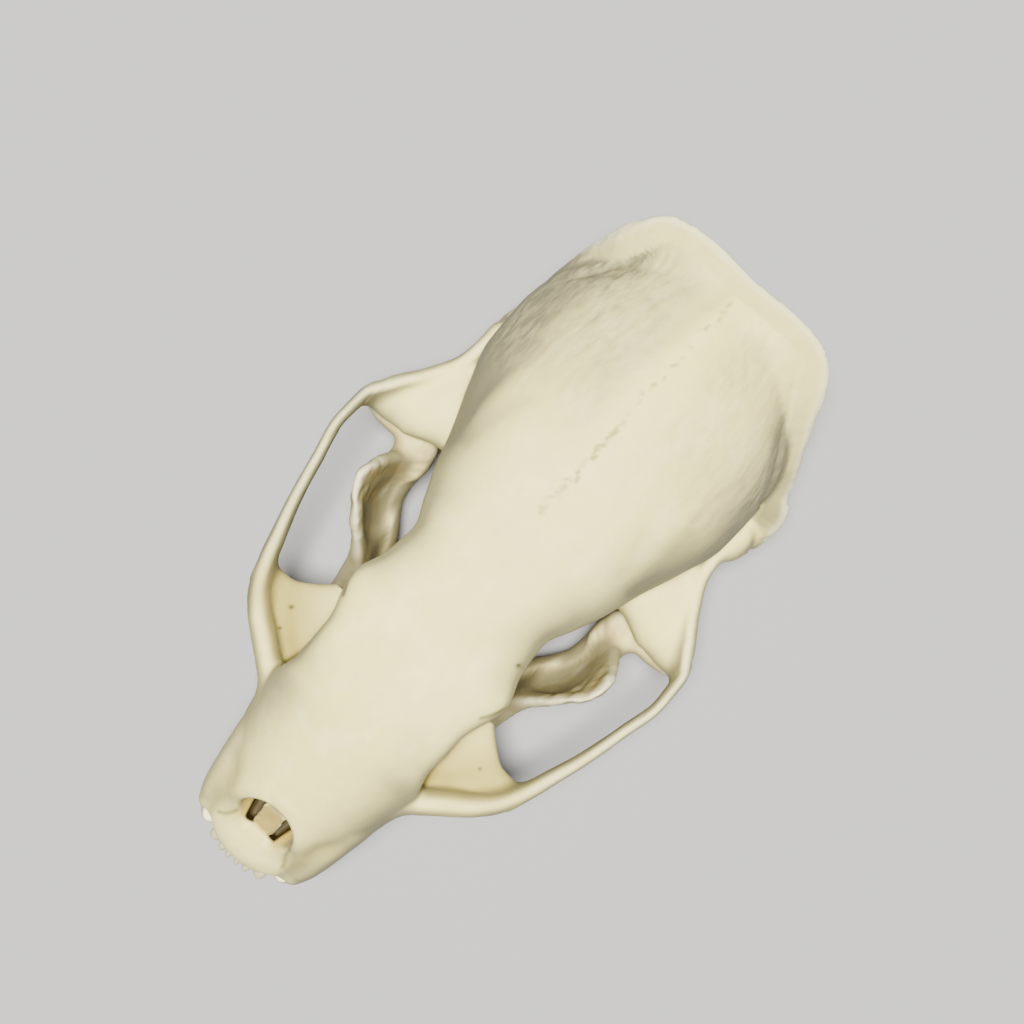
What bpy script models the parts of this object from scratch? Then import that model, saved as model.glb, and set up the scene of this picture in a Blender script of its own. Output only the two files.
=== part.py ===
"""Skull of an adult male mink, with the lower jaw closed, as a life-size model for a table.

Run it with: blender --background --python part.py
The mesh is in metres, +Z up. The muzzle points along -Y and the animal's own left side is +X.
Sizes in this file are millimetres, and MM turns them into metres where a mesh is made.
The skull rests on the lower edges of the two jaw bones, at height 0.
"""

import math

import bmesh
import bpy
import numpy as np
from mathutils import Matrix, Vector

MM = 0.001
GAP = 0.3  # clearance kept between two nodes
MERGE = 0.01  # points closer than this become one after a cut
SKULL_FACES = 4800  # triangles in the upper skull before its teeth grow on it

# The skull along Y: incisors in front, neck crest behind.
FRONT_Y = -34.0
REAR_Y = 33.2
MUZZLE_CUT_Y = -21.3  # between the third and the fourth upper premolar
FACE_CUT_Y = -8.75  # behind the last molar, where the eye sockets open downwards
ARCH_FRONT_Y = -11.2
ARCH_REAR_Y = 3.7
PALATE_Z = 12.4
FLOOR_Z = 0.0

# Dry bone: the face is whiter, the braincase creamier and the jaws yellower.
MUZZLE_COLOUR = (0.80, 0.77, 0.66, 1.0)
MIDFACE_COLOUR = (0.80, 0.76, 0.63, 1.0)
BRAINCASE_COLOUR = (0.78, 0.73, 0.58, 1.0)
ARCH_COLOUR = (0.80, 0.77, 0.67, 1.0)
BULLA_COLOUR = (0.78, 0.74, 0.61, 1.0)
JAW_COLOUR = (0.76, 0.70, 0.53, 1.0)
BONE_ROUGHNESS = 0.45


def profile(*knots):
    """A smooth curve through (place, value) knots that never swings past them."""
    places, values = np.array(knots, float).T
    widths = np.diff(places)
    slopes = np.diff(values) / widths
    tangents = np.zeros(len(values))
    for i in range(1, len(values) - 1):
        before, after = slopes[i - 1], slopes[i]
        if before * after > 0:
            a = 2 * widths[i] + widths[i - 1]
            b = widths[i] + 2 * widths[i - 1]
            tangents[i] = (a + b) / (a / before + b / after)
    tangents[0], tangents[-1] = slopes[0], slopes[-1]

    def value(at):
        at = min(max(at, places[0]), places[-1])
        i = min(int(np.searchsorted(places, at, "right")) - 1, len(widths) - 1)
        h, t = widths[i], (at - places[i]) / widths[i]
        return float(
            values[i] * (1 + 2 * t) * (1 - t) ** 2
            + tangents[i] * h * t * (1 - t) ** 2
            + values[i + 1] * t * t * (3 - 2 * t)
            + tangents[i + 1] * h * t * t * (t - 1)
        )

    return value


def spline(points, count):
    """count places along a smooth curve through points, whose columns may hold radii too."""
    table = np.array(points, float)
    steps = np.linalg.norm(np.diff(table[:, :3], axis=0), axis=1)
    along = np.concatenate([[0], np.cumsum(steps)])
    curves = [profile(*zip(along, column)) for column in table.T]
    return [[c(s) for c in curves] for s in np.linspace(0, along[-1], count)]


def solid(name, points, faces):
    """A mesh object from points in millimetres, with its faces turned outwards."""
    mesh = bpy.data.meshes.new(name)
    mesh.from_pydata([Vector(p) * MM for p in points], [], faces)
    shape = bmesh.new()
    shape.from_mesh(mesh)
    bmesh.ops.recalc_face_normals(shape, faces=shape.faces)
    bmesh.ops.triangulate(shape, faces=[f for f in shape.faces if len(f.verts) > 4])
    shape.to_mesh(mesh)
    shape.free()
    made = bpy.data.objects.new(name, mesh)
    bpy.context.scene.collection.objects.link(made)
    return made


def loft(name, rings):
    """A closed body through rings of equal length, each end capped by a fan."""
    sides = len(rings[0])
    points = [p for ring in rings for p in ring]
    faces = []
    for r in range(len(rings) - 1):
        for i in range(sides):
            j = (i + 1) % sides
            a, b = r * sides, (r + 1) * sides
            faces.append((a + i, a + j, b + j, b + i))
    for ring, first in ((rings[0], 0), (rings[-1], (len(rings) - 1) * sides)):
        points.append(tuple(np.mean(ring, axis=0)))
        hub = len(points) - 1
        faces += [(first + i, first + (i + 1) % sides, hub) for i in range(sides)]
    return solid(name, points, faces)


def power(value, exponent):
    return math.copysign(abs(value) ** exponent, value)


def section(y, half, mid, top, bottom, n_top, n_bottom, sides):
    """One upright ring: half wide at height mid, squarer where its exponents are larger."""
    ring = []
    for i in range(sides):
        angle = 2 * math.pi * i / sides
        s, c = math.sin(angle), math.cos(angle)
        n, reach = (n_top, top - mid) if c >= 0 else (n_bottom, mid - bottom)
        ring.append((half * power(s, 2 / n), y, mid + reach * power(c, 2 / n)))
    return ring


def body(name, places, curves, sides, ridge=None):
    """A loft of sections whose six sizes follow curves along Y, with a ridge along its top."""
    rings = []
    for y in places:
        ring = section(y, *(curve(y) for curve in curves), sides)
        if ridge:
            ring[0] = (0, y, ring[0][2] + ridge(y))
        rings.append(ring)
    return loft(name, rings)


def level(value):
    return lambda y: value


def sweep(name, points, count, sides=10):
    """A tube of oval section along points of (x, y, z, half thickness, half height)."""
    stations = spline(points, count)
    centres = [Vector(s[:3]) for s in stations]
    rings = []
    for k, (centre, station) in enumerate(zip(centres, stations)):
        ahead = centres[min(k + 1, count - 1)] - centres[max(k - 1, 0)]
        side = ahead.cross(Vector((0, 0, 1))).normalized()
        up = side.cross(ahead).normalized()
        ring = []
        for i in range(sides):
            angle = 2 * math.pi * i / sides
            offset = side * station[3] * math.cos(angle) + up * station[4] * math.sin(angle)
            ring.append(tuple(centre + offset))
        rings.append(ring)
    return loft(name, rings)


def shelf(name, stations, count, sides=12):
    """A wing that grows sideways: stations of (x, y, z, half length, half height)."""
    rings = []
    for x, y, z, length, height in spline(stations, count):
        ring = []
        for i in range(sides):
            angle = 2 * math.pi * i / sides
            ring.append((x, y + length * math.cos(angle), z + height * math.sin(angle)))
        rings.append(ring)
    return loft(name, rings)


def ellipsoid(name, centre, radii, turn=(0, 0, 0), detail=3):
    """An egg-shaped body; turn is in degrees about X, Y and Z."""
    shape = bmesh.new()
    bmesh.ops.create_icosphere(shape, subdivisions=detail, radius=1)
    turned = Matrix.Identity(3)
    for axis, degrees in zip("XYZ", turn):
        turned = Matrix.Rotation(math.radians(degrees), 3, axis) @ turned
    for v in shape.verts:
        grown = Vector(a * b for a, b in zip(v.co, radii))
        v.co = (turned @ grown + Vector(centre)) * MM
    mesh = bpy.data.meshes.new(name)
    shape.to_mesh(mesh)
    shape.free()
    made = bpy.data.objects.new(name, mesh)
    bpy.context.scene.collection.objects.link(made)
    return made


def block(name, low, high):
    """A box between two corners."""
    (x0, y0, z0), (x1, y1, z1) = low, high
    points = [(x, y, z) for x in (x0, x1) for y in (y0, y1) for z in (z0, z1)]
    faces = [(0, 1, 3, 2), (4, 6, 7, 5), (0, 4, 5, 1), (2, 3, 7, 6), (0, 2, 6, 4), (1, 5, 7, 3)]
    return solid(name, points, faces)


def mirrored(maker, *arguments):
    """The pieces that maker gives for the left side, +1, and for the right side, -1."""
    return [piece for side in (1, -1) for piece in maker(side, *arguments)]


def largest_shell(mesh):
    """Keeps only the closed surface with the most volume."""
    shape = bmesh.new()
    shape.from_mesh(mesh)
    bmesh.ops.triangulate(shape, faces=shape.faces[:])
    unseen, shells = set(shape.faces), []
    while unseen:
        stack, shell = [next(iter(unseen))], []
        unseen.discard(stack[0])
        while stack:
            face = stack.pop()
            shell.append(face)
            for edge in face.edges:
                for other in edge.link_faces:
                    if other in unseen:
                        unseen.discard(other)
                        stack.append(other)
        shells.append(shell)

    def volume(shell):
        return sum(
            f.verts[0].co.dot(f.verts[1].co.cross(f.verts[2].co)) for f in shell
        )

    keep = max(shells, key=lambda shell: abs(volume(shell)))
    dropped = [f for shell in shells if shell is not keep for f in shell]
    bmesh.ops.delete(shape, geom=dropped, context="FACES")
    bmesh.ops.delete(shape, geom=[e for e in shape.edges if not e.link_faces], context="EDGES")
    bmesh.ops.delete(shape, geom=[v for v in shape.verts if not v.link_edges], context="VERTS")
    shape.to_mesh(mesh)
    shape.free()


def combine(base, pieces, operation):
    """Applies one Boolean of a collection of closed pieces to base, and removes them."""
    group = bpy.data.collections.new("pieces")
    bpy.context.scene.collection.children.link(group)
    for piece in pieces:
        bpy.context.scene.collection.objects.unlink(piece)
        group.objects.link(piece)
    cut = base.modifiers.new("combine", "BOOLEAN")
    cut.operation = operation
    cut.operand_type = "COLLECTION"
    cut.collection = group
    cut.solver = "EXACT"
    graph = bpy.context.evaluated_depsgraph_get()
    mesh = bpy.data.meshes.new_from_object(base.evaluated_get(graph))
    base.modifiers.clear()
    base.data = mesh
    shape = bmesh.new()
    shape.from_mesh(mesh)
    bmesh.ops.triangulate(shape, faces=[f for f in shape.faces if len(f.verts) > 3])
    bmesh.ops.remove_doubles(shape, verts=shape.verts[:], dist=MERGE * MM)
    bmesh.ops.dissolve_degenerate(shape, edges=shape.edges[:], dist=MERGE * MM)
    shape.to_mesh(mesh)
    shape.free()
    for piece in pieces:
        bpy.data.objects.remove(piece)
    bpy.data.collections.remove(group)
    return base


def thin_out(made, faces):
    """Collapses the short edges that the cuts left, down to a number of triangles."""
    thinner = made.modifiers.new("thin_out", "DECIMATE")
    thinner.ratio = min(1.0, faces / len(made.data.polygons))
    thinner.use_collapse_triangulate = True
    graph = bpy.context.evaluated_depsgraph_get()
    mesh = bpy.data.meshes.new_from_object(made.evaluated_get(graph))
    made.modifiers.clear()
    made.data = mesh


def named_copy(source, name):
    made = bpy.data.objects.new(name, source.data.copy())
    bpy.context.scene.collection.objects.link(made)
    return made


def keep_between(source, name, front, rear):
    """The stretch of a body between two upright planes, as a node of its own."""
    reach = 60
    made = named_copy(source, name)
    combine(made, [block("slice", (-reach, front, -reach), (reach, rear, reach))], "INTERSECT")
    largest_shell(made.data)
    return made


# The cranium: six curves along Y give the roof, the side walls and the base.
ROOF = profile(
    (-34, 18.5), (-31, 19.8), (-27, 22), (-24, 23.6), (-20, 25.6), (-16, 27.5), (-11, 29),
    (-6.6, 29.7), (0, 30.0), (8, 30.7), (16, 30.9), (23, 30.5), (28.5, 29.4), (33.2, 28.0),
)
ROOF_RIDGE = profile((-4, 0), (6, 0.15), (16, 0.3), (26, 0.35), (33.2, 0.3))
WALL_HALF = profile(
    (-34, 1.7), (-33.4, 2.6), (-32.8, 3.15), (-32, 3.7), (-31.2, 4.2), (-30.4, 4.8), (-29.4, 5.5),
    (-28, 6.15), (-26, 6.9), (-24.4, 7.45), (-21, 8.2), (-18.5, 8.4), (-15, 7.6),
    (-11.5, 7.6), (-6.6, 8.7), (-3.6, 7.8), (-0.6, 7.5), (2, 8.6), (4.5, 9.7), (8, 10.9), (12, 12.5), (16, 13.7), (20, 13.8),
    (24, 13.2), (28, 11.5), (30.5, 9.8), (32.2, 8.0), (33.2, 5.6),
)
WALL_MID = profile(
    (-34, 15.2), (-24, 15.6), (-19, 17.5), (-16.4, 22.8), (-13, 25.4), (-10, 26.3), (-6.6, 26.8),
    (-2, 25.6), (3, 23.4), (10, 21), (18, 19.5), (28, 20), (33.2, 21.5),
)
BASE = profile(
    (-34, PALATE_Z), (-25, PALATE_Z), (-21.5, PALATE_Z + 0.5), (-17, 13.3), (-13, 14.5), (-6, 15.2),
    (3, 15), (10, 14.4), (26, 14.2), (30, 15.4), (33.2, 18),
)
ROOF_SHAPE = profile(
    (-34, 2.2), (-24, 2.3), (-17, 2.7), (-13, 3.2), (-5, 3.2), (0, 2.8), (5, 2.3), (20, 2.2),
    (33.2, 2.3),
)
BASE_SHAPE = profile(
    (-34, 4), (-20, 3.6), (-15, 1.7), (-8, 1.25), (0, 1.4), (8, 1.9), (18, 2.4), (33.2, 2.2)
)

# The tooth-bearing part of the cheek and the palate, below the eye sockets.
PALATE_HALF = profile((-25, 6.6), (-21, 8.2), (-18, 9.3), (-14, 10.2), (-11, 10.3), (-9.2, 9.4))
WING_HALF = profile((-12, 4.9), (-4, 4.3), (3, 3.9), (7, 3.4))

# The neck crest's outer edge, from the mastoid process round to the midline.
CREST_EDGE = (
    (14.5, 16.8, 12.8), (15.4, 18.8, 14.2), (15.2, 21.3, 16.6), (14.2, 23.7, 19.4),
    (13.1, 26.2, 22.3), (11.4, 30.1, 25.6), (9.8, 33.0, 27.2), (7.8, 34.3, 28.0),
    (3.8, 34.5, 28.6), (0.0, 34.3, 28.8),
)
CREST_SKEW = profile(  # how far the flange lies over to the left side
    (14, 0.2), (17, 0.6), (18.8, 1.0), (20.6, 1.4), (22.2, 1.3), (24, 0.85), (26, 0.45), (29, 0)
)
CREST_DEPTH = 2.9  # half the depth of the flange, most of it sunk in the braincase
CREST_THICK = 0.62  # half its thickness
CREST_HUB = (17.0, -3.5)  # the flange points at this Y on the midline, and this far up


def neck_crest():
    """The flange that frames the back of the skull from one mastoid process to the other."""
    left = [[x + CREST_SKEW(y), y, z] for x, y, z in CREST_EDGE]
    right = [[CREST_SKEW(y) - x, y, z] for x, y, z in reversed(CREST_EDGE[:-1])]
    stations = spline([*left, *right], 37)
    rings = []
    for k, station in enumerate(stations):
        edge = Vector(station)
        ahead = Vector(stations[min(k + 1, len(stations) - 1)]) - Vector(stations[max(k - 1, 0)])
        inward = Vector((0, CREST_HUB[0], edge.z + CREST_HUB[1])) - edge
        inward.normalize()
        across = ahead.cross(inward).normalized()
        centre = edge + inward * CREST_DEPTH
        ring = []
        for i in range(8):
            angle = 2 * math.pi * i / 8
            depth = inward * CREST_DEPTH * math.cos(angle)
            ring.append(tuple(centre + depth + across * CREST_THICK * math.sin(angle)))
        rings.append(ring)
    return loft("neck_crest", rings)


# Cheek arch: (x, y, z, half thickness, half height) from the cheek to the jaw joint.
ARCH = (
    (4.6, -22.4, 17.0, 1.1, 2.3), (8.0, -19.1, 17.2, 1.25, 2.7), (10.8, -16.9, 17.1, 1.2, 2.4),
    (13.0, -15.2, 17.1, 1.05, 2.0), (14.4, -13.5, 17.3, 0.9, 1.7), (15.5, -11.1, 17.6, 0.8, 1.55),
    (16.1, -9.2, 17.9, 0.72, 1.45), (17.05, -6.0, 18.7, 0.62, 1.35), (18.0, -1.8, 19.4, 0.56, 1.35),
    (18.85, 2.2, 19.0, 0.54, 1.45), (18.8, 4.8, 17.8, 0.6, 1.6), (17.4, 7.6, 16.6, 0.7, 1.5),
    (15.6, 10.4, 16.0, 0.7, 1.2), (14.2, 13.4, 15.8, 0.7, 1.0), (13.8, 17.0, 15.0, 0.8, 1.0),
)
ARCH_STATIONS = 40
ORBIT_FLOOR = (
    (5.5, -14.6, 14.2, 5.4, 1.9), (9.5, -14.4, 14.3, 4.7, 1.7), (10.8, -14.2, 14.6, 3.8, 1.5),
    (12.2, -14.1, 15.2, 2.8, 1.3), (13.8, -13.5, 16.0, 2.0, 1.2), (15.2, -12.4, 16.9, 1.2, 1.0),
)
JOINT_SHELF = (
    (6.0, 10.2, 16.0, 4.0, 3.0), (11.0, 10.0, 15.3, 4.1, 2.6), (13.8, 9.4, 14.8, 4.5, 2.4),
    (15.2, 8.3, 14.7, 3.5, 2.2), (16.5, 7.1, 15.0, 2.5, 2.0), (17.7, 6.2, 15.7, 1.6, 1.7),
    (18.6, 5.4, 16.8, 0.9, 1.2),
)


def flipped(side, stations):
    return [(side * s[0], *s[1:]) for s in stations]


def cheek_root(side, front):
    """The end of the cheek arch that is one with the skull, front or rear."""
    arch = sweep("arch", flipped(side, ARCH), ARCH_STATIONS, 8)
    if front:
        return keep_between(arch, "arch_root", -60, ARCH_FRONT_Y - GAP / 2), arch
    return keep_between(arch, "arch_root", ARCH_REAR_Y + GAP / 2, 60), arch


def cheek(side):
    """Both roots of the arch, the floor of the eye socket and the shelf over the jaw joint."""
    front, whole = cheek_root(side, True)
    bpy.data.objects.remove(whole)
    rear, whole = cheek_root(side, False)
    bpy.data.objects.remove(whole)
    floor = shelf("orbit_floor", flipped(side, ORBIT_FLOOR), 9)
    joint = shelf("joint_shelf", flipped(side, JOINT_SHELF), 11)
    lip = ellipsoid("rear_lip", (side * 14.2, 8.1, 12.5), (3.2, 1.1, 2.2), detail=2)
    return [front, rear, floor, joint, lip]


JUGUM = (
    (5.2, -31.1, 13.3, 0.95, 1.2), (5.6, -29.4, 14.8, 1.1, 1.4), (6.1, -26.8, 17.0, 1.0, 1.25),
    (6.5, -24.4, 18.6, 0.7, 0.9),
)


def skull_bumps(side):
    """The canine's root bulge, the mastoid and paroccipital processes and the condyle."""
    return [
        sweep("jugum", flipped(side, JUGUM), 6),
        ellipsoid("mastoid", (side * 13.5 + CREST_SKEW(17.9), 17.9, 13.9), (1.7, 2.6, 2.4), detail=2),
        ellipsoid("paroccipital", (side * 9.9, 25.4, 14.2), (1.6, 1.3, 2.6), detail=2),
        ellipsoid("condyle", (side * 3.9, 31.2, 16.4), (2.0, 1.9, 3.0), (0, side * 28, 0), 2),
        sweep("hamulus", flipped(side, ((3.2, 3.5, 14.0, 0.6, 1.6), (3.3, 7.6, 11.9, 0.45, 0.7))), 4, 6),
    ]


def tooth(name, root, tip, radii, bend=(0, 0, 0), rings=2, sides=7, blunt=0.12):
    """A tapering crown from a sunk root to a blunt tip; radii are (along Y, across X)."""
    root, tip, bend = Vector(root), Vector(tip), Vector(bend)
    side = math.copysign(1, root.x)
    made = []
    for k in range(rings + 1):
        t = k / rings
        centre = root.lerp(tip, t) + bend * 4 * t * (1 - t)
        wide = (1 - t**2.3) * (1 - blunt) + blunt
        ring = []
        for i in range(sides):
            angle = 2 * math.pi * (i + 0.5) / sides
            x = side * radii[1] * wide * math.cos(angle)
            y = radii[0] * wide * math.sin(angle)
            ring.append((centre.x + x, centre.y + y, centre.z))
        made.append(ring)
    return loft(name, made)


ROOT_SINK = 1.4
ROOT_STEP = 0.07  # each tooth is sunk this much deeper than the one before it
# Upper teeth: place on the alveolar line, tip, and (half length, half width).
UPPER_INCISORS = (((0.55, -33.5), 0.5, 0.4), ((1.6, -33.35), 0.55, 0.42), ((2.75, -32.9), 0.75, 0.6))
UPPER_CHEEK = (
    ("premolar_2", (6.2, -26.9), (6.3, -27.2, 10.2), (1.4, 0.85)),
    ("premolar_3", (7.1, -23.4), (7.2, -23.7, 9.3), (1.75, 1.0)),
    ("carnassial_base", (8.9, -17.7), (9.0, -17.6, 10.2), (3.3, 0.85)),
    ("carnassial_front", (8.8, -18.6), (9.0, -18.6, 8.2), (1.7, 0.95)),
    ("carnassial_rear", (9.3, -15.9), (9.5, -15.3, 9.5), (1.6, 0.85)),
    ("carnassial_inner", (7.2, -20.0), (7.1, -20.0, 10.5), (0.9, 1.0)),
    ("molar_outer", (9.1, -12.3), (9.2, -12.3, 10.4), (1.4, 1.25)),
    ("molar_inner", (6.6, -12.2), (6.4, -12.2, 10.7), (1.7, 1.6)),
)
UPPER_CANINE = ((4.5, -31.5), (5.2, -31.5, 4.6), (1.45, 1.0), (0.15, -0.4, 0))


def upper_teeth(side):
    """Three incisors, a canine, two premolars, the carnassial and the molar."""
    made = []
    for n, ((x, y), along, across) in enumerate(UPPER_INCISORS, 1):
        root = (side * x, y, PALATE_Z + ROOT_SINK - n * ROOT_STEP)
        tip = (side * x * 1.05, y - 0.75, PALATE_Z - 1.5 - 0.25 * n)
        made.append(tooth("incisor", root, tip, (along, across), sides=6, blunt=0.45))
    (x, y), tip, radii, bend = UPPER_CANINE
    root = (side * x, y, PALATE_Z + ROOT_SINK)
    made.append(tooth("canine", root, (side * tip[0], *tip[1:]), radii, bend, 5, 9))
    for n, (name, (x, y), tip, radii) in enumerate(UPPER_CHEEK):
        root = (side * x, y, PALATE_Z + ROOT_SINK + n * ROOT_STEP)
        made.append(tooth(name, root, (side * tip[0], *tip[1:]), radii))
    return made


NOSE_TURN = 56  # the slanted face below the nasal bones leans back this much
NOSE_PLATE = ((0.12, -29.4, 15.9, 1.15, 0.85), (0.12, -25.9, 21.3, 1.15, 0.85))


def nose_cuts():
    """The slanted face below the nasal bones, and the hollow in it."""
    low, high = Vector((0, -33.2, 13.0)), Vector((0, -27.0, 22.3))
    rise = (high - low).normalized()
    out = Vector((0, -rise.z, rise.y))
    wide = 12
    rings = []
    for point in (low - rise * 6, high + rise * 8):
        near, far = point, point + out * 14
        rings.append([(-wide, *near[1:]), (wide, *near[1:]), (wide, *far[1:]), (-wide, *far[1:])])
    cavity = ellipsoid("nose_cavity", (0.12, -28.8, 18.9), (3.15, 3.3, 2.0), (NOSE_TURN, 0, 0))
    return [loft("nose_slope", rings), cavity]


def premaxilla():
    """The rounded bone above the incisors, flat below."""
    dome = ellipsoid("premaxilla", (0.05, -30.1, 13.2), (4.35, 3.65, 3.5))
    return combine(dome, [block("below", (-8, -40, 4), (8, -20, PALATE_Z - 0.15))], "DIFFERENCE")


def nostril(side):
    """A deep slot beside the plate."""
    return [ellipsoid("nostril", (0.12 + side * 1.75, -28.4, 16.6), (0.5, 1.35, 3.4), detail=2)]


def openings(side):
    """The infraorbital canal, the ear canal and the groove that holds the jaw's condyle."""
    canal = ((9.6, -21.5, 16.9, 1.05, 1.25), (8.9, -17.9, 17.2, 0.9, 1.1))
    ear = ((16.5, 13.9, 12.4, 1.15, 1.15), (11.2, 15.2, 13.0, 1.0, 1.0))
    return [
        sweep("infraorbital", flipped(side, canal), 4, 8),
        sweep("ear_canal", flipped(side, ear), 3, 8),
        condyle_bar(side, GAP + 0.05, 0.6),
    ]


BULLA = ((7.4, 16.4, 13.4), (4.3, 7.4, 3.9), (0, 0, 9))


def ear_bulla(side, name, grow, detail=3):
    """The swollen bony capsule under the ear."""
    (x, y, z), radii, turn = BULLA
    turned = (turn[0], turn[1], side * turn[2])
    grown = tuple(r + grow for r in radii)
    return ellipsoid(name, (side * x, y, z), grown, turned, detail)


def cranium():
    """The whole upper skull as one body, before it is parted into nodes."""
    places = np.concatenate(
        [np.linspace(FRONT_Y, -30, 7)[:-1], np.linspace(-30, 28, 30)[:-1], np.linspace(28, REAR_Y, 6)]
    )
    curves = (WALL_HALF, WALL_MID, ROOF, BASE, ROOF_SHAPE, BASE_SHAPE)
    base = body("cranium", places, curves, 32, ROOF_RIDGE)
    combine(base, nose_cuts(), "DIFFERENCE")
    curves = (PALATE_HALF, level(14.2), level(15.8), level(PALATE_Z - 0.2), level(2.6), level(3.4))
    palate = body("palate", np.linspace(-25, -9.2, 9), curves, 16)
    curves = (WING_HALF, level(15), level(18.5), level(PALATE_Z + 0.2), level(2.4), level(3))
    wings = body("palatine", np.linspace(-12, 7, 7), curves, 12)
    nose = [premaxilla(), sweep("nose_plate", NOSE_PLATE, 3, 10)]
    parts = [palate, wings, neck_crest(), *nose, *mirrored(cheek), *mirrored(skull_bumps)]
    combine(base, parts, "UNION")
    throat = ellipsoid("throat", (0.013, 2.0, 12.0), (2.75, 9.0, 3.3), (0, 0, 3))
    spine_hole = ellipsoid("spine_hole", (0.017, 33, 18.2), (3.0, 6.5, 2.9), (0, 7, 0))
    cuts = [throat, spine_hole, *mirrored(openings), *mirrored(nostril)]
    cups = [ear_bulla(side, "bulla_cup", GAP) for side in (1, -1)]
    combine(base, [*cuts, *cups], "DIFFERENCE")
    largest_shell(base.data)
    thin_out(base, SKULL_FACES)
    combine(base, mirrored(upper_teeth), "UNION")
    largest_shell(base.data)
    return base


# Lower jaw: each bone is a leaning plate whose lower edge, upper edge and place follow Y.
JAW_TOP = profile(
    (-32.9, 6.8), (-30, 8.0), (-25, 7.6), (-18, 6.8), (-12, 6.8), (-9.6, 7.6), (-8, 11.0),
    (-6, 16.2), (-4, 19.8), (-2.2, 21.4), (-0.4, 21.9), (0.7, 21.4), (1.7, 19.4), (2.7, 16.0),
    (3.5, 13.2), (4.4, 11.2), (5.2, 8.0), (6.0, 5.0), (7.2, 3.7), (8.3, 2.6),
)
JAW_BOTTOM = profile(
    (-32.9, 4.6), (-31.2, 2.8), (-28, 1.1), (-24.5, 0.1), (-22, -0.15), (-13, -0.15), (-8, 0.5),
    (-3, 1.5), (1, 1.6), (3.6, 0.8), (5.2, -0.1), (6.6, -0.15), (7.5, 0.2), (8.3, 1.2),
)
JAW_X = profile(
    (-32.9, 1.4), (-31, 2.0), (-28, 2.6), (-25, 3.9), (-22, 5.2), (-18, 6.6), (-14, 7.6),
    (-10, 8.4), (-6, 8.9), (-5, 9.1), (-3.2, 9.8), (-1.3, 11.0), (0, 11.5), (1.5, 11.7),
    (4, 11.6), (8.3, 11.3),
)
JAW_HALF = profile(
    (-32.9, 1.1), (-31, 1.8), (-28, 2.15), (-25, 2.05), (-21, 1.9), (-16, 1.85), (-9, 1.6),
    (-6, 1.1), (-2, 0.8), (3, 0.8), (8.3, 0.7),
)
JAW_LEAN = profile(
    (-32.9, 0), (-20, 0), (-10, 0.04), (-6, 0.07), (-4.5, 0.105), (-2, 0.127), (1, 0.115), (8.3, 0.1)
)
JAW_SIDES = 14
CONDYLE = (
    (12.4, 5.4, 11.3, 1.0), (13.4, 5.4, 11.4, 1.35), (16.0, 5.3, 11.6, 1.3), (17.8, 5.2, 11.9, 0.9)
)


def jaw_centre(y, z):
    return JAW_X(y) + JAW_LEAN(y) * z


def jaw_plate(side):
    """One jaw bone without its teeth and condyle."""
    rings = []
    places = np.concatenate([np.linspace(-32.9, -10, 13)[:-1], np.linspace(-10, 8.3, 20)])
    for y in places:
        top, bottom, thick = JAW_TOP(y), JAW_BOTTOM(y), JAW_HALF(y)
        mid, reach = (top + bottom) / 2, (top - bottom) / 2
        ring = []
        for i in range(JAW_SIDES):
            angle = 2 * math.pi * (i + 0.5) / JAW_SIDES
            z = mid + reach * power(math.cos(angle) / math.cos(math.pi / JAW_SIDES), 0.72)
            across = thick * power(math.sin(angle), 0.8)
            ring.append((side * (jaw_centre(y, z) + across), y, z))
        rings.append(ring)
    return loft("jaw_plate", rings)


def condyle_bar(side, grow, longer):
    """The jaw's hinge roller, or with some growth the groove that holds it."""
    first, last = CONDYLE[0], CONDYLE[-1]
    stations = [(first[0] - longer, *first[1:]), *CONDYLE[1:-1], (last[0] + longer, *last[1:])]
    rings = []
    for x, y, z, r in spline(stations, 7):
        ring = []
        for i in range(10):
            angle = 2 * math.pi * i / 10
            ring.append((side * x, y + (r + grow) * math.cos(angle), z + (r + grow) * math.sin(angle)))
        rings.append(ring)
    return loft("condyle_bar", rings)


LOWER_INCISORS = (((0.5, -32.2), 0.36), ((1.1, -31.9), 0.4), ((1.75, -32.0), 0.42))
LOWER_CANINE = ((2.45, -30.9, 5.6), (3.4, -32.6, 10.7), (1.1, 0.8), (0.25, -0.1, 0))
LOWER_CHEEK = (
    ("premolar_2", (4.0, -27.6), 9.2, (1.1, 0.7)), ("premolar_3", (4.8, -24.7), 9.8, (1.45, 0.8)),
    ("premolar_4", (5.6, -21.4), 10.4, (1.75, 0.9)), ("carnassial_front", (6.6, -18.0), 10.6, (1.6, 0.95)),
    ("carnassial_mid", (7.1, -15.6), 10.9, (1.6, 1.0)), ("carnassial_heel", (7.6, -13.3), 8.7, (1.3, 1.0)),
    ("molar_2", (8.1, -11.0), 8.6, (1.0, 0.9)),
)


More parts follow.
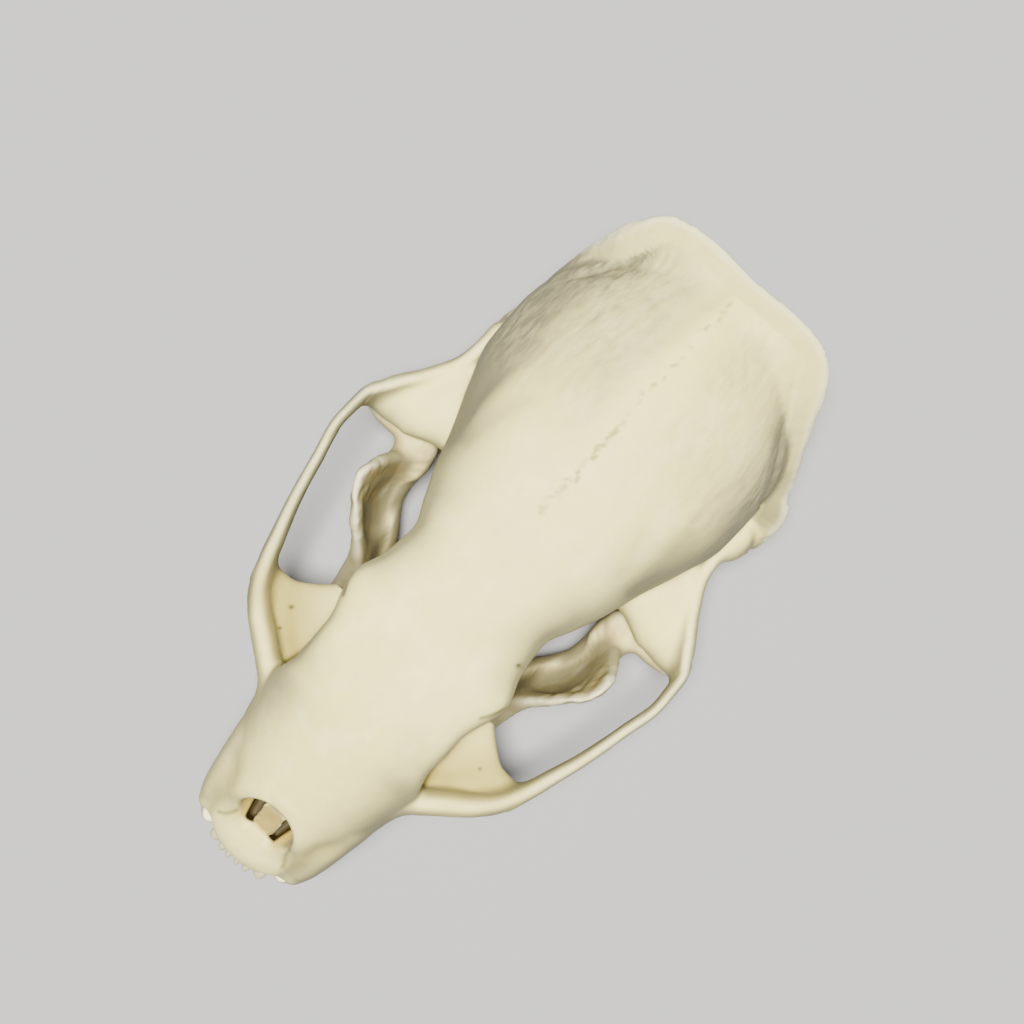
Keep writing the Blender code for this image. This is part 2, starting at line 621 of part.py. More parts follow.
def jaw(side, name):
    """One jaw bone with its teeth, hinge roller and the flats that it rests on."""
    base = jaw_plate(side)
    base.name = name
    neck = sweep("neck", flipped(side, ((12.9, 2.4, 11.4, 0.9, 2.0), (13.6, 5.2, 11.4, 1.1, 1.2))), 4, 8)
    pieces = [condyle_bar(side, 0, 0), neck]
    for n, ((x, y), size) in enumerate(LOWER_INCISORS):
        root = (side * x, y, 5.8 - n * ROOT_STEP)
        tip = (side * x * 1.1, y - 0.6, 8.7)
        pieces.append(tooth("incisor", root, tip, (size, 0.33), sides=6, blunt=0.5))
    root, tip, radii, bend = LOWER_CANINE
    root, tip = (side * root[0], *root[1:]), (side * tip[0], *tip[1:])
    pieces.append(tooth("canine", root, tip, radii, (side * bend[0], *bend[1:]), 4, 8))
    for n, (tooth_name, (x, y), top, radii) in enumerate(LOWER_CHEEK):
        root, tip = (side * x, y, JAW_TOP(y) - ROOT_SINK - n * ROOT_STEP), (side * x, y, top)
        pieces.append(tooth(tooth_name, root, tip, radii))
    combine(base, pieces, "UNION")
    flat = block("flat", (-40, -60, -5), (40, 60, FLOOR_Z))
    near, far = sorted((side * GAP / 2, -side * 40))
    combine(base, [flat, block("symphysis", (near, -60, -4), (far, 60, 40))], "DIFFERENCE")
    largest_shell(base.data)
    return base


def dress(node, colour):
    """Gives a node its own bone material and smooth shading."""
    material = bpy.data.materials.new(node.name)
    material.use_nodes = True
    shader = material.node_tree.nodes["Principled BSDF"]
    shader.inputs["Base Color"].default_value = colour
    shader.inputs["Roughness"].default_value = BONE_ROUGHNESS
    shader.inputs["Metallic"].default_value = 0.0
    node.data.materials.clear()
    node.data.materials.append(material)
    node.data.shade_smooth()


def main():
    for old in list(bpy.data.objects):
        bpy.data.objects.remove(old)
    whole = cranium()
    dress(keep_between(whole, "muzzle", -60, MUZZLE_CUT_Y - GAP / 2), MUZZLE_COLOUR)
    midface = keep_between(whole, "midface", MUZZLE_CUT_Y + GAP / 2, FACE_CUT_Y - GAP / 2)
    dress(midface, MIDFACE_COLOUR)
    dress(keep_between(whole, "braincase", FACE_CUT_Y + GAP / 2, 60), BRAINCASE_COLOUR)
    bpy.data.objects.remove(whole)
    for side, word in ((1, "left"), (-1, "right")):
        arch = sweep("arch", flipped(side, ARCH), ARCH_STATIONS, 8)
        front, rear = ARCH_FRONT_Y + GAP / 2, ARCH_REAR_Y - GAP / 2
        dress(keep_between(arch, f"cheek_arch_{word}", front, rear), ARCH_COLOUR)
        bpy.data.objects.remove(arch)
        dress(ear_bulla(side, f"ear_bulla_{word}", 0), BULLA_COLOUR)
        dress(jaw(side, f"lower_jaw_{word}"), JAW_COLOUR)


main()
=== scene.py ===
"""Looks of the mink skull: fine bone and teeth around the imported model.

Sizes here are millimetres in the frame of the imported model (muzzle along -Y, the animal's left
side +X, +Z up), and MM turns them into metres where a mesh is made. Each bone is grown in a block
of small cells that hold the distance to its surface, so that its parts run into each other softly.
"""

import math
from functools import reduce
from itertools import combinations, product
from operator import and_, or_

import bpy
import numpy as np
from mathutils import Matrix, Vector


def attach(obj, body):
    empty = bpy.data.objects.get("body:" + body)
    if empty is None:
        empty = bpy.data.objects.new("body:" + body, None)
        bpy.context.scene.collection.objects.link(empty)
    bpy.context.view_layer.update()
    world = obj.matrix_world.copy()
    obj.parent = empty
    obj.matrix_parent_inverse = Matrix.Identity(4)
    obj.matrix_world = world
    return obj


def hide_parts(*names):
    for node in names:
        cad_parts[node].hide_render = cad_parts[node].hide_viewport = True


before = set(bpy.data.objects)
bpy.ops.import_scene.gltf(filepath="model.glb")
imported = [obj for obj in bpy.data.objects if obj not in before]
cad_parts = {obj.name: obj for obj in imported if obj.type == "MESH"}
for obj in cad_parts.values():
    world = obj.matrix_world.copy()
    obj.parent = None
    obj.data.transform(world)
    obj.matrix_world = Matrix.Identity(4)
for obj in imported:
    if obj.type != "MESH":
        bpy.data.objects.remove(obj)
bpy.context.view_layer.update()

MM = 0.001
CAMERA = (-2.13, 6.1, 253)  # straight above the skull
PIXELS = 2662  # how wide 1 mm looks in the photograph from 1 mm away, in pixels
CENTRE = (-30.6, 418)  # the photograph's middle, in n and t of the function over
FLOOR = 9.0  # half the floor's side, in metres
FAR = 9.0  # what a cell holds before any bone comes near it
THIN = 1e-6
BONE_CELL = 0.17
JAW_CELL = 0.16
TOOTH_CELL = 0.085


def made_of(name, data):
    """A new object in the scene."""
    made = bpy.data.objects.new(name, data)
    bpy.context.scene.collection.objects.link(made)
    return made


# The photograph looks straight down, with the muzzle towards the lower left.
camera_data = bpy.data.cameras.new("camera")
camera_data.lens = 93.6
camera_data.sensor_width = 36
camera_data.clip_start, camera_data.clip_end = 0.01, 10
camera = made_of("camera", camera_data)
camera.location = [MM * value for value in CAMERA]
camera.rotation_euler = (0, 0, math.radians(42.06))
bpy.context.scene.camera = camera


def lamp(name, place, aim, size, watts, colour):
    """A round soft light; its places and size are in metres."""
    data = bpy.data.lights.new(name, "AREA")
    data.shape, data.size, data.energy, data.color = "DISK", size, watts, colour
    made = made_of(name, data)
    made.location = place
    made.rotation_euler = (Vector(aim) - Vector(place)).to_track_quat("-Z", "Y").to_euler()


def shader_nodes(name):
    material = bpy.data.materials.new(name)
    material.use_nodes = True
    tree = material.node_tree
    return material, tree, tree.nodes["Principled BSDF"]


def fill(node, **sockets):
    for key, value in sockets.items():
        node.inputs[key.replace("_", " ")].default_value = value


def studio():
    world = bpy.data.worlds.new("studio")
    world.use_nodes = True
    fill(world.node_tree.nodes["Background"], Color=(0.93, 0.96, 1.0, 1), Strength=0.03)
    bpy.context.scene.world = world
    lamp("key", (-0.06, -0.04, 2.4), (0, 0, 0.02), 0.56, 236.0, (1.0, 0.955, 0.70))
    lamp("fill", (0.42, 0.22, 0.42), (0, 0, 0.02), 0.4, 0.2, (0.94, 0.97, 1.0))
    material, tree, shader = shader_nodes("paper")
    fill(shader, Base_Color=(0.285, 0.295, 0.385, 1), Roughness=0.85)
    points = [(x * FLOOR, y * FLOOR, 0) for x, y in ((-1, -1), (1, -1), (1, 1), (-1, 1))]
    mesh = bpy.data.meshes.new("floor")
    mesh.from_pydata(points, [], [(0, 1, 2, 3)])
    mesh.materials.append(material)
    floor = made_of("floor", mesh)


def profile(*knots):
    """A smooth curve through (place, value) knots that never swings past them."""
    places, values = np.array(knots, float).T
    widths = np.diff(places)
    slopes = np.diff(values) / widths
    tangents = np.zeros(len(values))
    for i in range(1, len(values) - 1):
        before, after = slopes[i - 1], slopes[i]
        if before * after > 0:
            a = 2 * widths[i] + widths[i - 1]
            b = widths[i] + 2 * widths[i - 1]
            tangents[i] = (a + b) / (a / before + b / after)
    tangents[0], tangents[-1] = slopes[0], slopes[-1]

    def value(at):
        at = np.clip(at, places[0], places[-1])
        i = np.clip(np.searchsorted(places, at, "right") - 1, 0, len(widths) - 1)
        h = widths[i]
        t = (at - places[i]) / h
        return (
            values[i] * (1 + 2 * t) * (1 - t) ** 2
            + tangents[i] * h * t * (1 - t) ** 2
            + values[i + 1] * t * t * (3 - 2 * t)
            + tangents[i + 1] * h * t * t * (t - 1)
        )

    return value


def level(value):
    return lambda at: np.full(np.shape(at), float(value))


def spline(points, count):
    """count places along a smooth curve through points, whose columns may hold radii too."""
    table = np.array(points, float)
    steps = np.linalg.norm(np.diff(table[:, :3], axis=0), axis=1)
    along = np.concatenate([[0], np.cumsum(steps)])
    at = np.linspace(0, along[-1], count)
    return np.stack([profile(*zip(along, column))(at) for column in table.T], axis=1)


def unit(rows, least=0.0):
    """The rows made 1 long, or less where they are shorter than least."""
    return rows / np.maximum(np.linalg.norm(rows, axis=1, keepdims=True), least)


def lower_of(a, b, blend):
    """The lower of two distances, rounded off where they are within blend of each other."""
    near = np.maximum(blend - np.abs(a - b), 0) / max(blend, THIN)
    return np.minimum(a, b) - near * near * blend / 4


MOST_ROUNDS = 16  # of filling in, of which a few are used


def blended(part, value):
    """Blends value(corner) of the eight corners of a cell, for places some part of a cell in."""
    total = np.zeros(len(part))
    for corner in product((0, 1), repeat=3):
        total += np.prod(np.where(np.array(corner), part, 1 - part), axis=1) * value(corner)
    return total


class Cells:
    """A block of cells; each holds its distance to the bone's surface, negative inside."""

    def __init__(self, low, high, cell):
        self.low, self.cell = np.array(low, float), cell
        self.counts = np.ceil((np.array(high) - self.low) / cell).astype(int) + 1
        self.field = np.full(self.counts, FAR, np.float32)

    def window(self, low, high):
        """The part of the block between two corners, and its X, Y and Z places."""
        first = np.floor((np.array(low) - self.low) / self.cell).astype(int)
        last = np.ceil((np.array(high) - self.low) / self.cell).astype(int) + 1
        first, last = np.clip(first, 0, self.counts), np.clip(last, 0, self.counts)
        places = [self.low[k] + self.cell * np.arange(first[k], last[k]) for k in range(3)]
        axes = [axis.astype(np.float32) for axis in np.ix_(*places)]
        return tuple(slice(a, b) for a, b in zip(first, last)), axes

    def even(self, value):
        """Turns any smooth measure that is 1 on a surface into a distance from it."""
        slopes = np.gradient(value, self.cell)
        steep = np.sqrt(sum(s * s for s in slopes))
        return (value - 1) / np.maximum(steep, 0.02)

    def apply(self, shape, blend=0.6, cut=False):
        """Joins a shape to the bone, or cuts it out, rounded off where they meet."""
        low, high, distance = shape
        reach = blend + 2 * self.cell
        place, axes = self.window(np.array(low) - reach, np.array(high) + reach)
        old = self.field[place]
        if min(old.shape) > 2:
            new = distance(self, *axes).astype(np.float32)
            self.field[place] = -lower_of(-old, new, blend) if cut else lower_of(old, new, blend)

    def cut(self, shape, blend=0.3):
        self.apply(shape, blend, True)

    def joined(self, inside):
        """Fills in where two bits of bone, or two gaps, would touch along an edge or at a corner."""

        def corner(*steps):
            sizes = zip(steps, inside.shape)
            return inside[tuple(slice(None) if s is None else slice(s, n - 1 + s) for s, n in sizes)]

        for _ in range(MOST_ROUNDS):
            before = int(inside.sum())
            for k in range(3):
                pairs = product((0, 1), repeat=2)
                a, b, c, d = [corner(*steps[:k], None, *steps[k:]) for steps in pairs]
                b |= a & d & ~b & ~c
                a |= b & c & ~a & ~d
            views = {steps: corner(*steps) for steps in product((0, 1), repeat=3)}
            for near in ((0, 0, 0), (0, 0, 1), (0, 1, 0), (0, 1, 1)):
                far = tuple(1 - s for s in near)
                others = [view for steps, view in views.items() if steps not in (near, far)]
                some, every = reduce(or_, others), reduce(and_, others)
                lone = (views[near] & views[far] & ~some) | (~views[near] & ~views[far] & every)
                views[near] |= lone
                others[0] |= lone & ~some
            if int(inside.sum()) == before:
                break
        return inside

    def mesh(self, name, smooth=2):
        """The closed surface where the distance is nothing, as points in mm and quads."""
        inside = self.field < 0
        for k in range(3):  # nothing reaches the block's own sides
            np.moveaxis(inside, k, 0)[[0, -1]] = False
        inside = self.joined(inside)
        self.field[inside & (self.field >= 0)] = -0.02 * self.cell
        size = self.counts - 1
        count = np.zeros(size, np.uint8)
        corners = list(product((0, 1), repeat=3))
        for a, b, c in corners:
            count += inside[a:a + size[0], b:b + size[1], c:c + size[2]]
        cells = np.argwhere((count > 0) & (count < 8))
        index = np.full(size, -1, np.int64)
        index[tuple(cells.T)] = np.arange(len(cells))
        values = np.stack([self.field[tuple((cells + c).T)] for c in corners], axis=1)
        values = np.where(values == 0, THIN, values).astype(float)
        total = np.zeros((len(cells), 3))
        hits = np.zeros(len(cells))
        for i, j in combinations(range(8), 2):
            step = np.array(corners[j]) - corners[i]
            if np.abs(step).sum() != 1:
                continue
            crossed = (values[:, i] < 0) != (values[:, j] < 0)
            share = values[crossed, i] / (values[crossed, i] - values[crossed, j])
            total[crossed] += np.array(corners[i]) + share[:, None] * step
            hits[crossed] += 1
        points = self.low + self.cell * (cells + total / np.maximum(hits, 1)[:, None])
        quads = []
        ways = np.eye(3, dtype=int)
        for k in range(3):
            u, v = ways[k - 2], ways[k - 1]
            here = [slice(1, -1)] * 3
            here[k] = slice(0, -1)
            there = list(here)
            there[k] = slice(1, None)
            spots = np.argwhere(inside[tuple(here)] != inside[tuple(there)]) + u + v
            around = (spots - u - v, spots - v, spots, spots - u)
            rings = np.stack([index[tuple(at.T)] for at in around], axis=1)
            outward = inside[tuple(spots.T)]
            rings[~outward] = rings[~outward][:, ::-1]
            quads.append(rings)
        return Skin(name, points, np.concatenate(quads), smooth)

    def crowding(self, reach):
        """For each cell, how much of the box within reach mm of it is bone, from 0 to 1."""
        share = (self.field < 0).astype(np.float32)
        half = max(1, int(round(reach / self.cell)))
        for k in range(3):
            share = np.moveaxis(share, k, 0)
            before, after = np.repeat(share[:1], half + 1, 0), np.repeat(share[-1:], half, 0)
            running = np.cumsum(np.concatenate([before, share, after]), axis=0, dtype=np.float64)
            full = 2 * half + 1
            share = ((running[full:] - running[:-full]) / full).astype(np.float32)
            share = np.moveaxis(share, 0, k)
        return share

    def read(self, block, points):
        """The block's values at points, blended between cells."""
        at = (points - self.low) / self.cell
        base = np.clip(np.floor(at).astype(int), 0, np.array(block.shape) - 2)
        return blended(np.clip(at - base, 0, 1), lambda corner: block[tuple((base + corner).T)])


class Skin:
    """A closed mesh as arrays, which can be smoothed, pushed along its normals and coloured."""

    def __init__(self, name, points, quads, smooth):
        self.name, self.points, self.quads = name, points, quads
        edges = np.concatenate([quads[:, [i, (i + 1) % 4]] for i in range(4)])
        self.edges = np.unique(np.sort(edges, axis=1), axis=0)
        self.relax(smooth, 0.5)
        self.layers = {}

    def relax(self, rounds, share):
        """Moves each point a share of the way to the mean of its neighbours."""
        a, b = self.edges.T
        n = len(self.points)
        count = np.maximum(np.bincount(a, minlength=n) + np.bincount(b, minlength=n), 1)
        for _ in range(rounds):
            old = self.points.T
            mean = [(np.bincount(a, p[b], n) + np.bincount(b, p[a], n)) / count for p in old]
            self.points = self.points + share * (np.stack(mean, axis=1) - self.points)

    def normals(self):
        corners = self.points[self.quads]
        across = np.cross(corners[:, 2] - corners[:, 0], corners[:, 3] - corners[:, 1])
        total = np.zeros_like(self.points)
        for i, k in product(range(4), range(3)):
            total[:, k] += np.bincount(self.quads[:, i], across[:, k], len(self.points))
        return unit(total, 1e-12)

    def push(self, amount):
        self.points = self.points + self.normals() * np.asarray(amount)[:, None]

    def add(self, layer, amount):
        """Raises a layer by an amount, up to 1."""
        self.layers[layer] = np.minimum(1, self.layers[layer] + amount)

    def at_least(self, layer, amount):
        """Raises a layer to an amount where it is lower."""
        self.layers[layer] = np.maximum(self.layers[layer], amount)

    def make(self, material):
        mesh = bpy.data.meshes.new(self.name)
        count = len(self.quads)
        mesh.vertices.add(len(self.points))
        mesh.vertices.foreach_set("co", (self.points * MM).astype(np.float32).ravel())
        mesh.loops.add(4 * count)
        mesh.loops.foreach_set("vertex_index", self.quads.astype(np.int32).ravel())
        mesh.polygons.add(count)
        mesh.polygons.foreach_set("loop_start", np.arange(0, 4 * count, 4, dtype=np.int32))
        mesh.update(calc_edges=True)
        mesh.shade_smooth()
        for layer, values in self.layers.items():
            attribute = mesh.attributes.new(layer, "FLOAT", "POINT")
            attribute.data.foreach_set("value", np.asarray(values, np.float32))
        mesh.materials.append(material)
        return made_of(self.name, mesh)


def power(value, exponent):
    return np.abs(value) ** exponent


def loft(front, rear, curves, wide):
    """A body along Y whose sections are rounded boxes, wide at most to either side. The curves give
    half its width, its middle, top and bottom, and how square it is above and below."""

    def distance(cells, x, y, z):
        half, middle, top, bottom, square_top, square_bottom = (curve(y) for curve in curves)
        rise = z - middle
        up = rise >= 0
        n = np.where(up, square_top, square_bottom)
        reach = np.where(up, top - middle, middle - bottom)
        value = (power(x / half, n) + power(rise / reach, n)) ** (1 / n)
        return np.maximum(cells.even(value), np.maximum(front - y, y - rear))

    places = np.linspace(front, rear, 99)
    return (-wide, front, curves[3](places).min()), (wide, rear, curves[2](places).max()), distance


def wing(side, stations):
    """A shelf that grows sideways: stations of (x, y, z, half length, half height)."""
    table = np.array(stations, float)
    places = table[:, 0]
    curves = [profile(*zip(places, column)) for column in table[:, 1:].T]

    def distance(cells, x, y, z):
        across = np.abs(x) * np.sign(side * x)
        cy, cz, length, height = (curve(across) for curve in curves)
        value = np.sqrt(((y - cy) / length) ** 2 + ((z - cz) / height) ** 2)
        return np.maximum(cells.even(value), np.maximum(places[0] - across, across - places[-1]))

    low = [places[0], *(table[:, 1:3] - table[:, 3:]).min(0)]
    high = [places[-1], *(table[:, 1:3] + table[:, 3:]).max(0)]
    if side < 0:
        low[0], high[0] = -high[0], -low[0]
    return low, high, distance


def oval(parts, radii):
    near = np.sqrt(sum((p / r) ** 2 for p, r in zip(parts, radii)))
    steep = np.sqrt(sum((p / r ** 2) ** 2 for p, r in zip(parts, radii)))
    return near * (near - 1) / np.maximum(steep, THIN)


def egg(centre, radii, turn=(0, 0, 0)):
    """An egg; turn is in degrees about X, Y and Z."""
    turned = Matrix.Identity(3)
    for axis, degrees in zip("XYZ", turn):
        turned = Matrix.Rotation(math.radians(degrees), 3, axis) @ turned
    turned, radii, centre = np.array(turned), np.array(radii, float), np.array(centre, float)
    reach = np.sqrt((turned ** 2) @ (radii ** 2))

    def distance(cells, x, y, z):
        offset = (x - centre[0], y - centre[1], z - centre[2])
        local = [sum(turned[j, k] * offset[j] for j in range(3)) for k in range(3)]
        return oval(local, radii)

    return centre - reach, centre + reach, distance


def brick(centre, halves, turn=0):
    """A box turned by some degrees about Z."""
    c, s = math.cos(math.radians(turn)), math.sin(math.radians(turn))
    reach = np.array([halves[0] + halves[1] * abs(s), halves[1] + halves[0] * abs(s), halves[2]])

    def distance(cells, x, y, z):
        dx, dy = x - centre[0], y - centre[1]
        across = np.maximum(np.abs(c * dx + s * dy) - halves[0], np.abs(c * dy - s * dx) - halves[1])
        return np.maximum(across, np.abs(z - centre[2]) - halves[2])

    return np.array(centre) - reach, np.array(centre) + reach, distance


def ribbon(stations, up=(0, 0, 1)):
    """A tube of oval section along rows of (x, y, z, radius across, radius up). It stands as nearly
    along up as it can; up is one direction, or one for each row."""
    table = np.array(stations, float)
    centres, across_r, up_r = table[:, :3], table[:, 3], table[:, 4]
    ahead = unit(np.gradient(centres, axis=0))
    across = unit(np.cross(ahead, np.broadcast_to(up, ahead.shape)), 1e-9)
    upright = np.cross(across, ahead)
    reach = np.maximum(across_r, up_r).max()

    def distance(cells, x, y, z):
        out = np.full(np.broadcast_shapes(x.shape, y.shape, z.shape), FAR, np.float32)
        axes = [a.ravel() for a in (x, y, z)]
        margin = reach + 1.2
        for i in range(len(table) - 1):
            start, end = centres[i], centres[i + 1]
            reaches = zip(axes, np.minimum(start, end) - margin, np.maximum(start, end) + margin)
            place = tuple(slice(*np.searchsorted(axis, ends)) for axis, *ends in reaches)
            if min(s.stop - s.start for s in place) < 1:
                continue
            px, py, pz = x[place[0]], y[:, place[1]], z[:, :, place[2]]
            step = end - start
            length = step @ step
            t = (px - start[0]) * step[0] + (py - start[1]) * step[1] + (pz - start[2]) * step[2]
            t = np.clip(t / length, 0, 1)
            offset = [p - (start[k] + t * step[k]) for k, p in enumerate((px, py, pz))]
            frame_at = [a[i] + (a[i + 1] - a[i]) * t[..., None] for a in (across, upright, ahead)]
            ra = across_r[i] + (across_r[i + 1] - across_r[i]) * t
            ru = up_r[i] + (up_r[i + 1] - up_r[i]) * t
            parts = [sum(offset[k] * axis[..., k] for k in range(3)) for axis in frame_at]
            out[place] = np.minimum(out[place], oval(parts, (ra, ru, np.minimum(ra, ru))))
        return out

    return centres.min(0) - reach, centres.max(0) + reach, distance


def half_space(low, high, point, normal):
    """All on the side of a plane that its normal points to, within a box."""
    normal = np.array(normal, float) / np.linalg.norm(normal)

    def distance(cells, x, y, z):
        return -((x - point[0]) * normal[0] + (y - point[1]) * normal[1] + (z - point[2]) * normal[2])

    return low, high, distance


def flipped(side, rows):
    return [(side * row[0], *row[1:]) for row in rows]


def strand(side, rows, count):
    """A tube along a smooth curve on one side, cut into count places."""
    return ribbon(spline(flipped(side, rows), count))


def lumps(points, size, seed):
    """Smooth random values from -1 to 1 that change over about size mm, or X, Y and Z sizes."""
    lattice = np.random.default_rng(seed).uniform(-1, 1, (32, 32, 32))
    at = points / np.array(size, float) + 7.3
    base = np.floor(at).astype(int)
    part = at - base
    part = part * part * (3 - 2 * part)
    return blended(part, lambda corner: lattice[tuple(((base + corner) % 32).T)])


def stroke(points, line, width, flat=True):
    """1 along a line of points, fading out over width mm; flat measures seen from above."""
    columns = 2 if flat else 3
    at = points[:, :columns]
    nearest = np.full(len(points), 1e9)
    line = np.array(line, float)[:, :columns]
    for start, end in zip(line[:-1], line[1:]):
        step = end - start
        t = np.clip((at - start) @ step / (step @ step), 0, 1)
        nearest = np.minimum(nearest, ((at - start - t[:, None] * step) ** 2).sum(1))
    return np.exp(-nearest / width ** 2)


def fade(value, start, end):
    t = np.clip((value - start) / (end - start), 0, 1)
    return t * t * (3 - 2 * t)


ROOF = profile(
    (-34, 18.5), (-31, 19.8), (-27, 22), (-24, 23.6), (-20, 25.6), (-16, 27.5), (-11, 29),
    (-6.6, 29.7), (0, 30), (8, 30.7), (16, 30.9), (23, 30.5), (28.5, 29.4), (33.2, 28),
)
WALL_HALF = profile(
    (-34, 1.7), (-33.4, 2.6), (-32.8, 3.15), (-32, 3.7), (-31.2, 4.2), (-30.4, 4.8), (-29.4, 5.5),
    (-28, 6.15), (-26, 6.9), (-24.4, 7.45), (-21, 8.2), (-18.5, 8.4), (-15, 7.6), (-11.5, 7.6),
    (-6.6, 8.7), (-3.6, 7.8), (-0.6, 7.5), (2, 8.6), (4.5, 9.7), (8, 10.9), (12, 12.5),
    (16, 13.7), (20, 13.8), (24, 13.2), (28, 11.5), (30.5, 9.8), (32.2, 8), (33.2, 5.6),
)
WALL_MID = profile(
    (-34, 15.2), (-24, 15.6), (-19, 17.5), (-16.4, 22.8), (-13, 25.4), (-10, 26.3), (-6.6, 26.8),
    (-2, 25.6), (3, 23.4), (10, 21), (18, 19.5), (28, 20), (33.2, 21.5),
)
BASE = profile(
    (-34, 12.4), (-25, 12.4), (-21.5, 12.9), (-17, 13.3), (-13, 14.5), (-6, 15.2), (3, 15),
    (10, 14.4), (26, 14.2), (30, 15.4), (33.2, 18),
)
ROOF_SHAPE = profile(
    (-34, 2.2), (-24, 2.3), (-17, 2.7), (-13, 3.2), (-5, 3.2), (0, 2.8), (5, 2.3), (20, 2.2), (33.2, 2.3)
)
BASE_SHAPE = profile(
    (-34, 4), (-20, 3.6), (-15, 1.7), (-8, 1.25), (0, 1.4), (8, 1.9), (18, 2.4), (33.2, 2.2)
)
PALATE_HALF = profile((-25, 6.6), (-21, 8.2), (-18, 9.3), (-14, 10.2), (-11, 10.3), (-9.2, 9.4))
WING_HALF = profile((-12, 4.9), (-4, 4.3), (3, 3.9), (7, 3.4))
CREST_EDGE = (
    (14.5, 16.8, 12.8), (15.4, 18.8, 14.2), (15.2, 21.3, 16.6), (14.2, 23.7, 19.4),
    (13.1, 26.2, 22.3), (11.4, 30.1, 25.6), (9.8, 33, 27.2), (7.8, 34.3, 28),
    (3.8, 34.5, 28.6), (0, 34.3, 28.8),
)
CREST_SKEW = profile(  # how far the flange lies over to the left side
    (14, 0.2), (17, 0.6), (18.8, 1), (20.6, 1.4), (22.2, 1.3), (24, 0.85), (26, 0.45), (29, 0)
)
CREST_DEPTH, CREST_THICK = 2.9, 0.55
CREST_HUB = (17, -3.5)
ARCH = (
    (4.6, -22.4, 17, 1.1, 2.3), (8, -19.1, 17.2, 1.25, 2.7), (10.8, -16.9, 17.1, 1.2, 2.4),
    (13, -15.2, 17.1, 1.05, 2), (14.4, -13.5, 17.3, 0.9, 1.7), (15.5, -11.1, 17.6, 0.8, 1.55),
    (16.1, -9.2, 17.9, 0.72, 1.45), (17.05, -6, 18.7, 0.62, 1.35), (18, -1.8, 19.4, 0.56, 1.35),
    (18.85, 2.2, 19, 0.54, 1.45), (18.8, 4.8, 17.8, 0.6, 1.6), (17.4, 7.6, 16.6, 0.7, 1.5),
    (15.6, 10.4, 16, 0.7, 1.2), (14.2, 13.4, 15.8, 0.7, 1), (13.8, 17, 15, 0.8, 1),
)
ORBIT_FLOOR = (
    (5.5, -14.6, 14.2, 5.4, 1.9), (9.5, -14.4, 14.3, 4.7, 1.7), (10.8, -14.2, 14.6, 3.8, 1.5),
    (12.2, -14.1, 15.2, 2.8, 1.3), (13.8, -13.5, 16, 2, 1.2), (15.2, -12.4, 16.9, 1.2, 1),
)
JOINT_SHELF = (
    (6, 10.2, 16, 4, 3), (11, 10, 15.3, 4.1, 2.6), (13.8, 9.4, 14.8, 4.5, 2.4),
    (15.2, 8.3, 14.7, 3.5, 2.2), (16.5, 7.1, 15, 2.5, 2), (17.7, 6.2, 15.7, 1.6, 1.7),
    (18.6, 5.4, 16.8, 0.9, 1.2),
)
JUGUM = (
    (5.2, -31.1, 13.3, 0.95, 1.2), (5.5, -29.4, 14.7, 1.1, 1.4), (5.9, -26.8, 16.6, 0.95, 1.2),
    (6.2, -24.4, 17.8, 0.6, 0.8),
)
PTERYGOID = ((3.2, 3.5, 14, 0.6, 1.6), (3.3, 7.6, 11.9, 0.45, 0.7))
ORBIT_CORNER = ((11.3, -14.7, 15.5, 0.9, 0.9), (9.6, -16.2, 15.6, 1, 1), (7.9, -17.3, 15.8, 0.9, 0.9))
CHEEK_CANAL = ((9.6, -21.5, 16.6, 0.95, 1.15), (8.8, -18.5, 16.2, 0.75, 0.9))
EAR_CANAL = ((16.5, 13.9, 12.4, 1.15, 1.15), (11.2, 15.2, 13, 1, 1))
OPENINGS = (  # centre, radii, blend; behind the incisors, behind the bulla, two behind the eye
    ((1.35, -30.2, 12), (0.55, 1.35, 1.3), 0.3),
    ((6, 24.9, 14.2), (1, 1.1, 1.6), 0.4),
    ((4.2, -0.5, 19), (1.2, 1.5, 0.8), 0.3),
    ((4.6, 3.2, 17), (1.2, 1.6, 0.9), 0.3),
)
CONDYLE = (
    (12.4, 5.4, 11.3, 1), (13.4, 5.4, 11.4, 1.35), (16, 5.3, 11.6, 1.3), (17.8, 5.2, 11.9, 0.9),
)
BULLA = ((7.4, 16.4, 13.4), (4.3, 7.4, 3.9), 9)
FACE_Y, FACE_Z = -33.2, 13  # the foot of the muzzle's slanted face
GAP = 0.3  # between the jaw's joint bar and its socket
SLOTS = tuple(  # the two passages of the nose, beside the plate of bone between them
    ((x, -28.4, 17.2), (wide, 1.34, 3.6), turn)
    for x, wide, turn in ((-1.31, 0.34, 4.2), (-1.49, 0.38, 13.7), (1.44, 0.28, 2.6), (1.64, 0.38, -12))
)
PLATE_RIMS = (
    ((-1.02, -27.3, 20.8), (-0.98, -28.3, 19.25), (-0.87, -29.3, 17.7), (-0.62, -30, 16.65)),
    ((1.12, -27.2, 20.9), (1.15, -28.3, 19.25), (1.16, -29.2, 17.8), (0.88, -29.9, 16.75)),
)


def crest_line():
    """The flange's outer edge, and the way from each place on it to the braincase."""
    left = [(x + CREST_SKEW(y), y, z) for x, y, z in CREST_EDGE]
    right = [(CREST_SKEW(y) - x, y, z) for x, y, z in reversed(CREST_EDGE[:-1])]
    edge = spline([*left, *right], 109)
    x, y = edge[:, :2].T
    return edge, unit(np.stack([-x, CREST_HUB[0] - y, np.full(len(x), CREST_HUB[1])], axis=1))


def neck_crest():
    """The flange that frames the back of the skull from one mastoid process to the other."""
    edge, inward = crest_line()
    centre = edge + inward * CREST_DEPTH
    rows = np.column_stack([centre, np.full(len(edge), CREST_THICK), np.full(len(edge), CREST_DEPTH)])
    return ribbon(rows, inward)


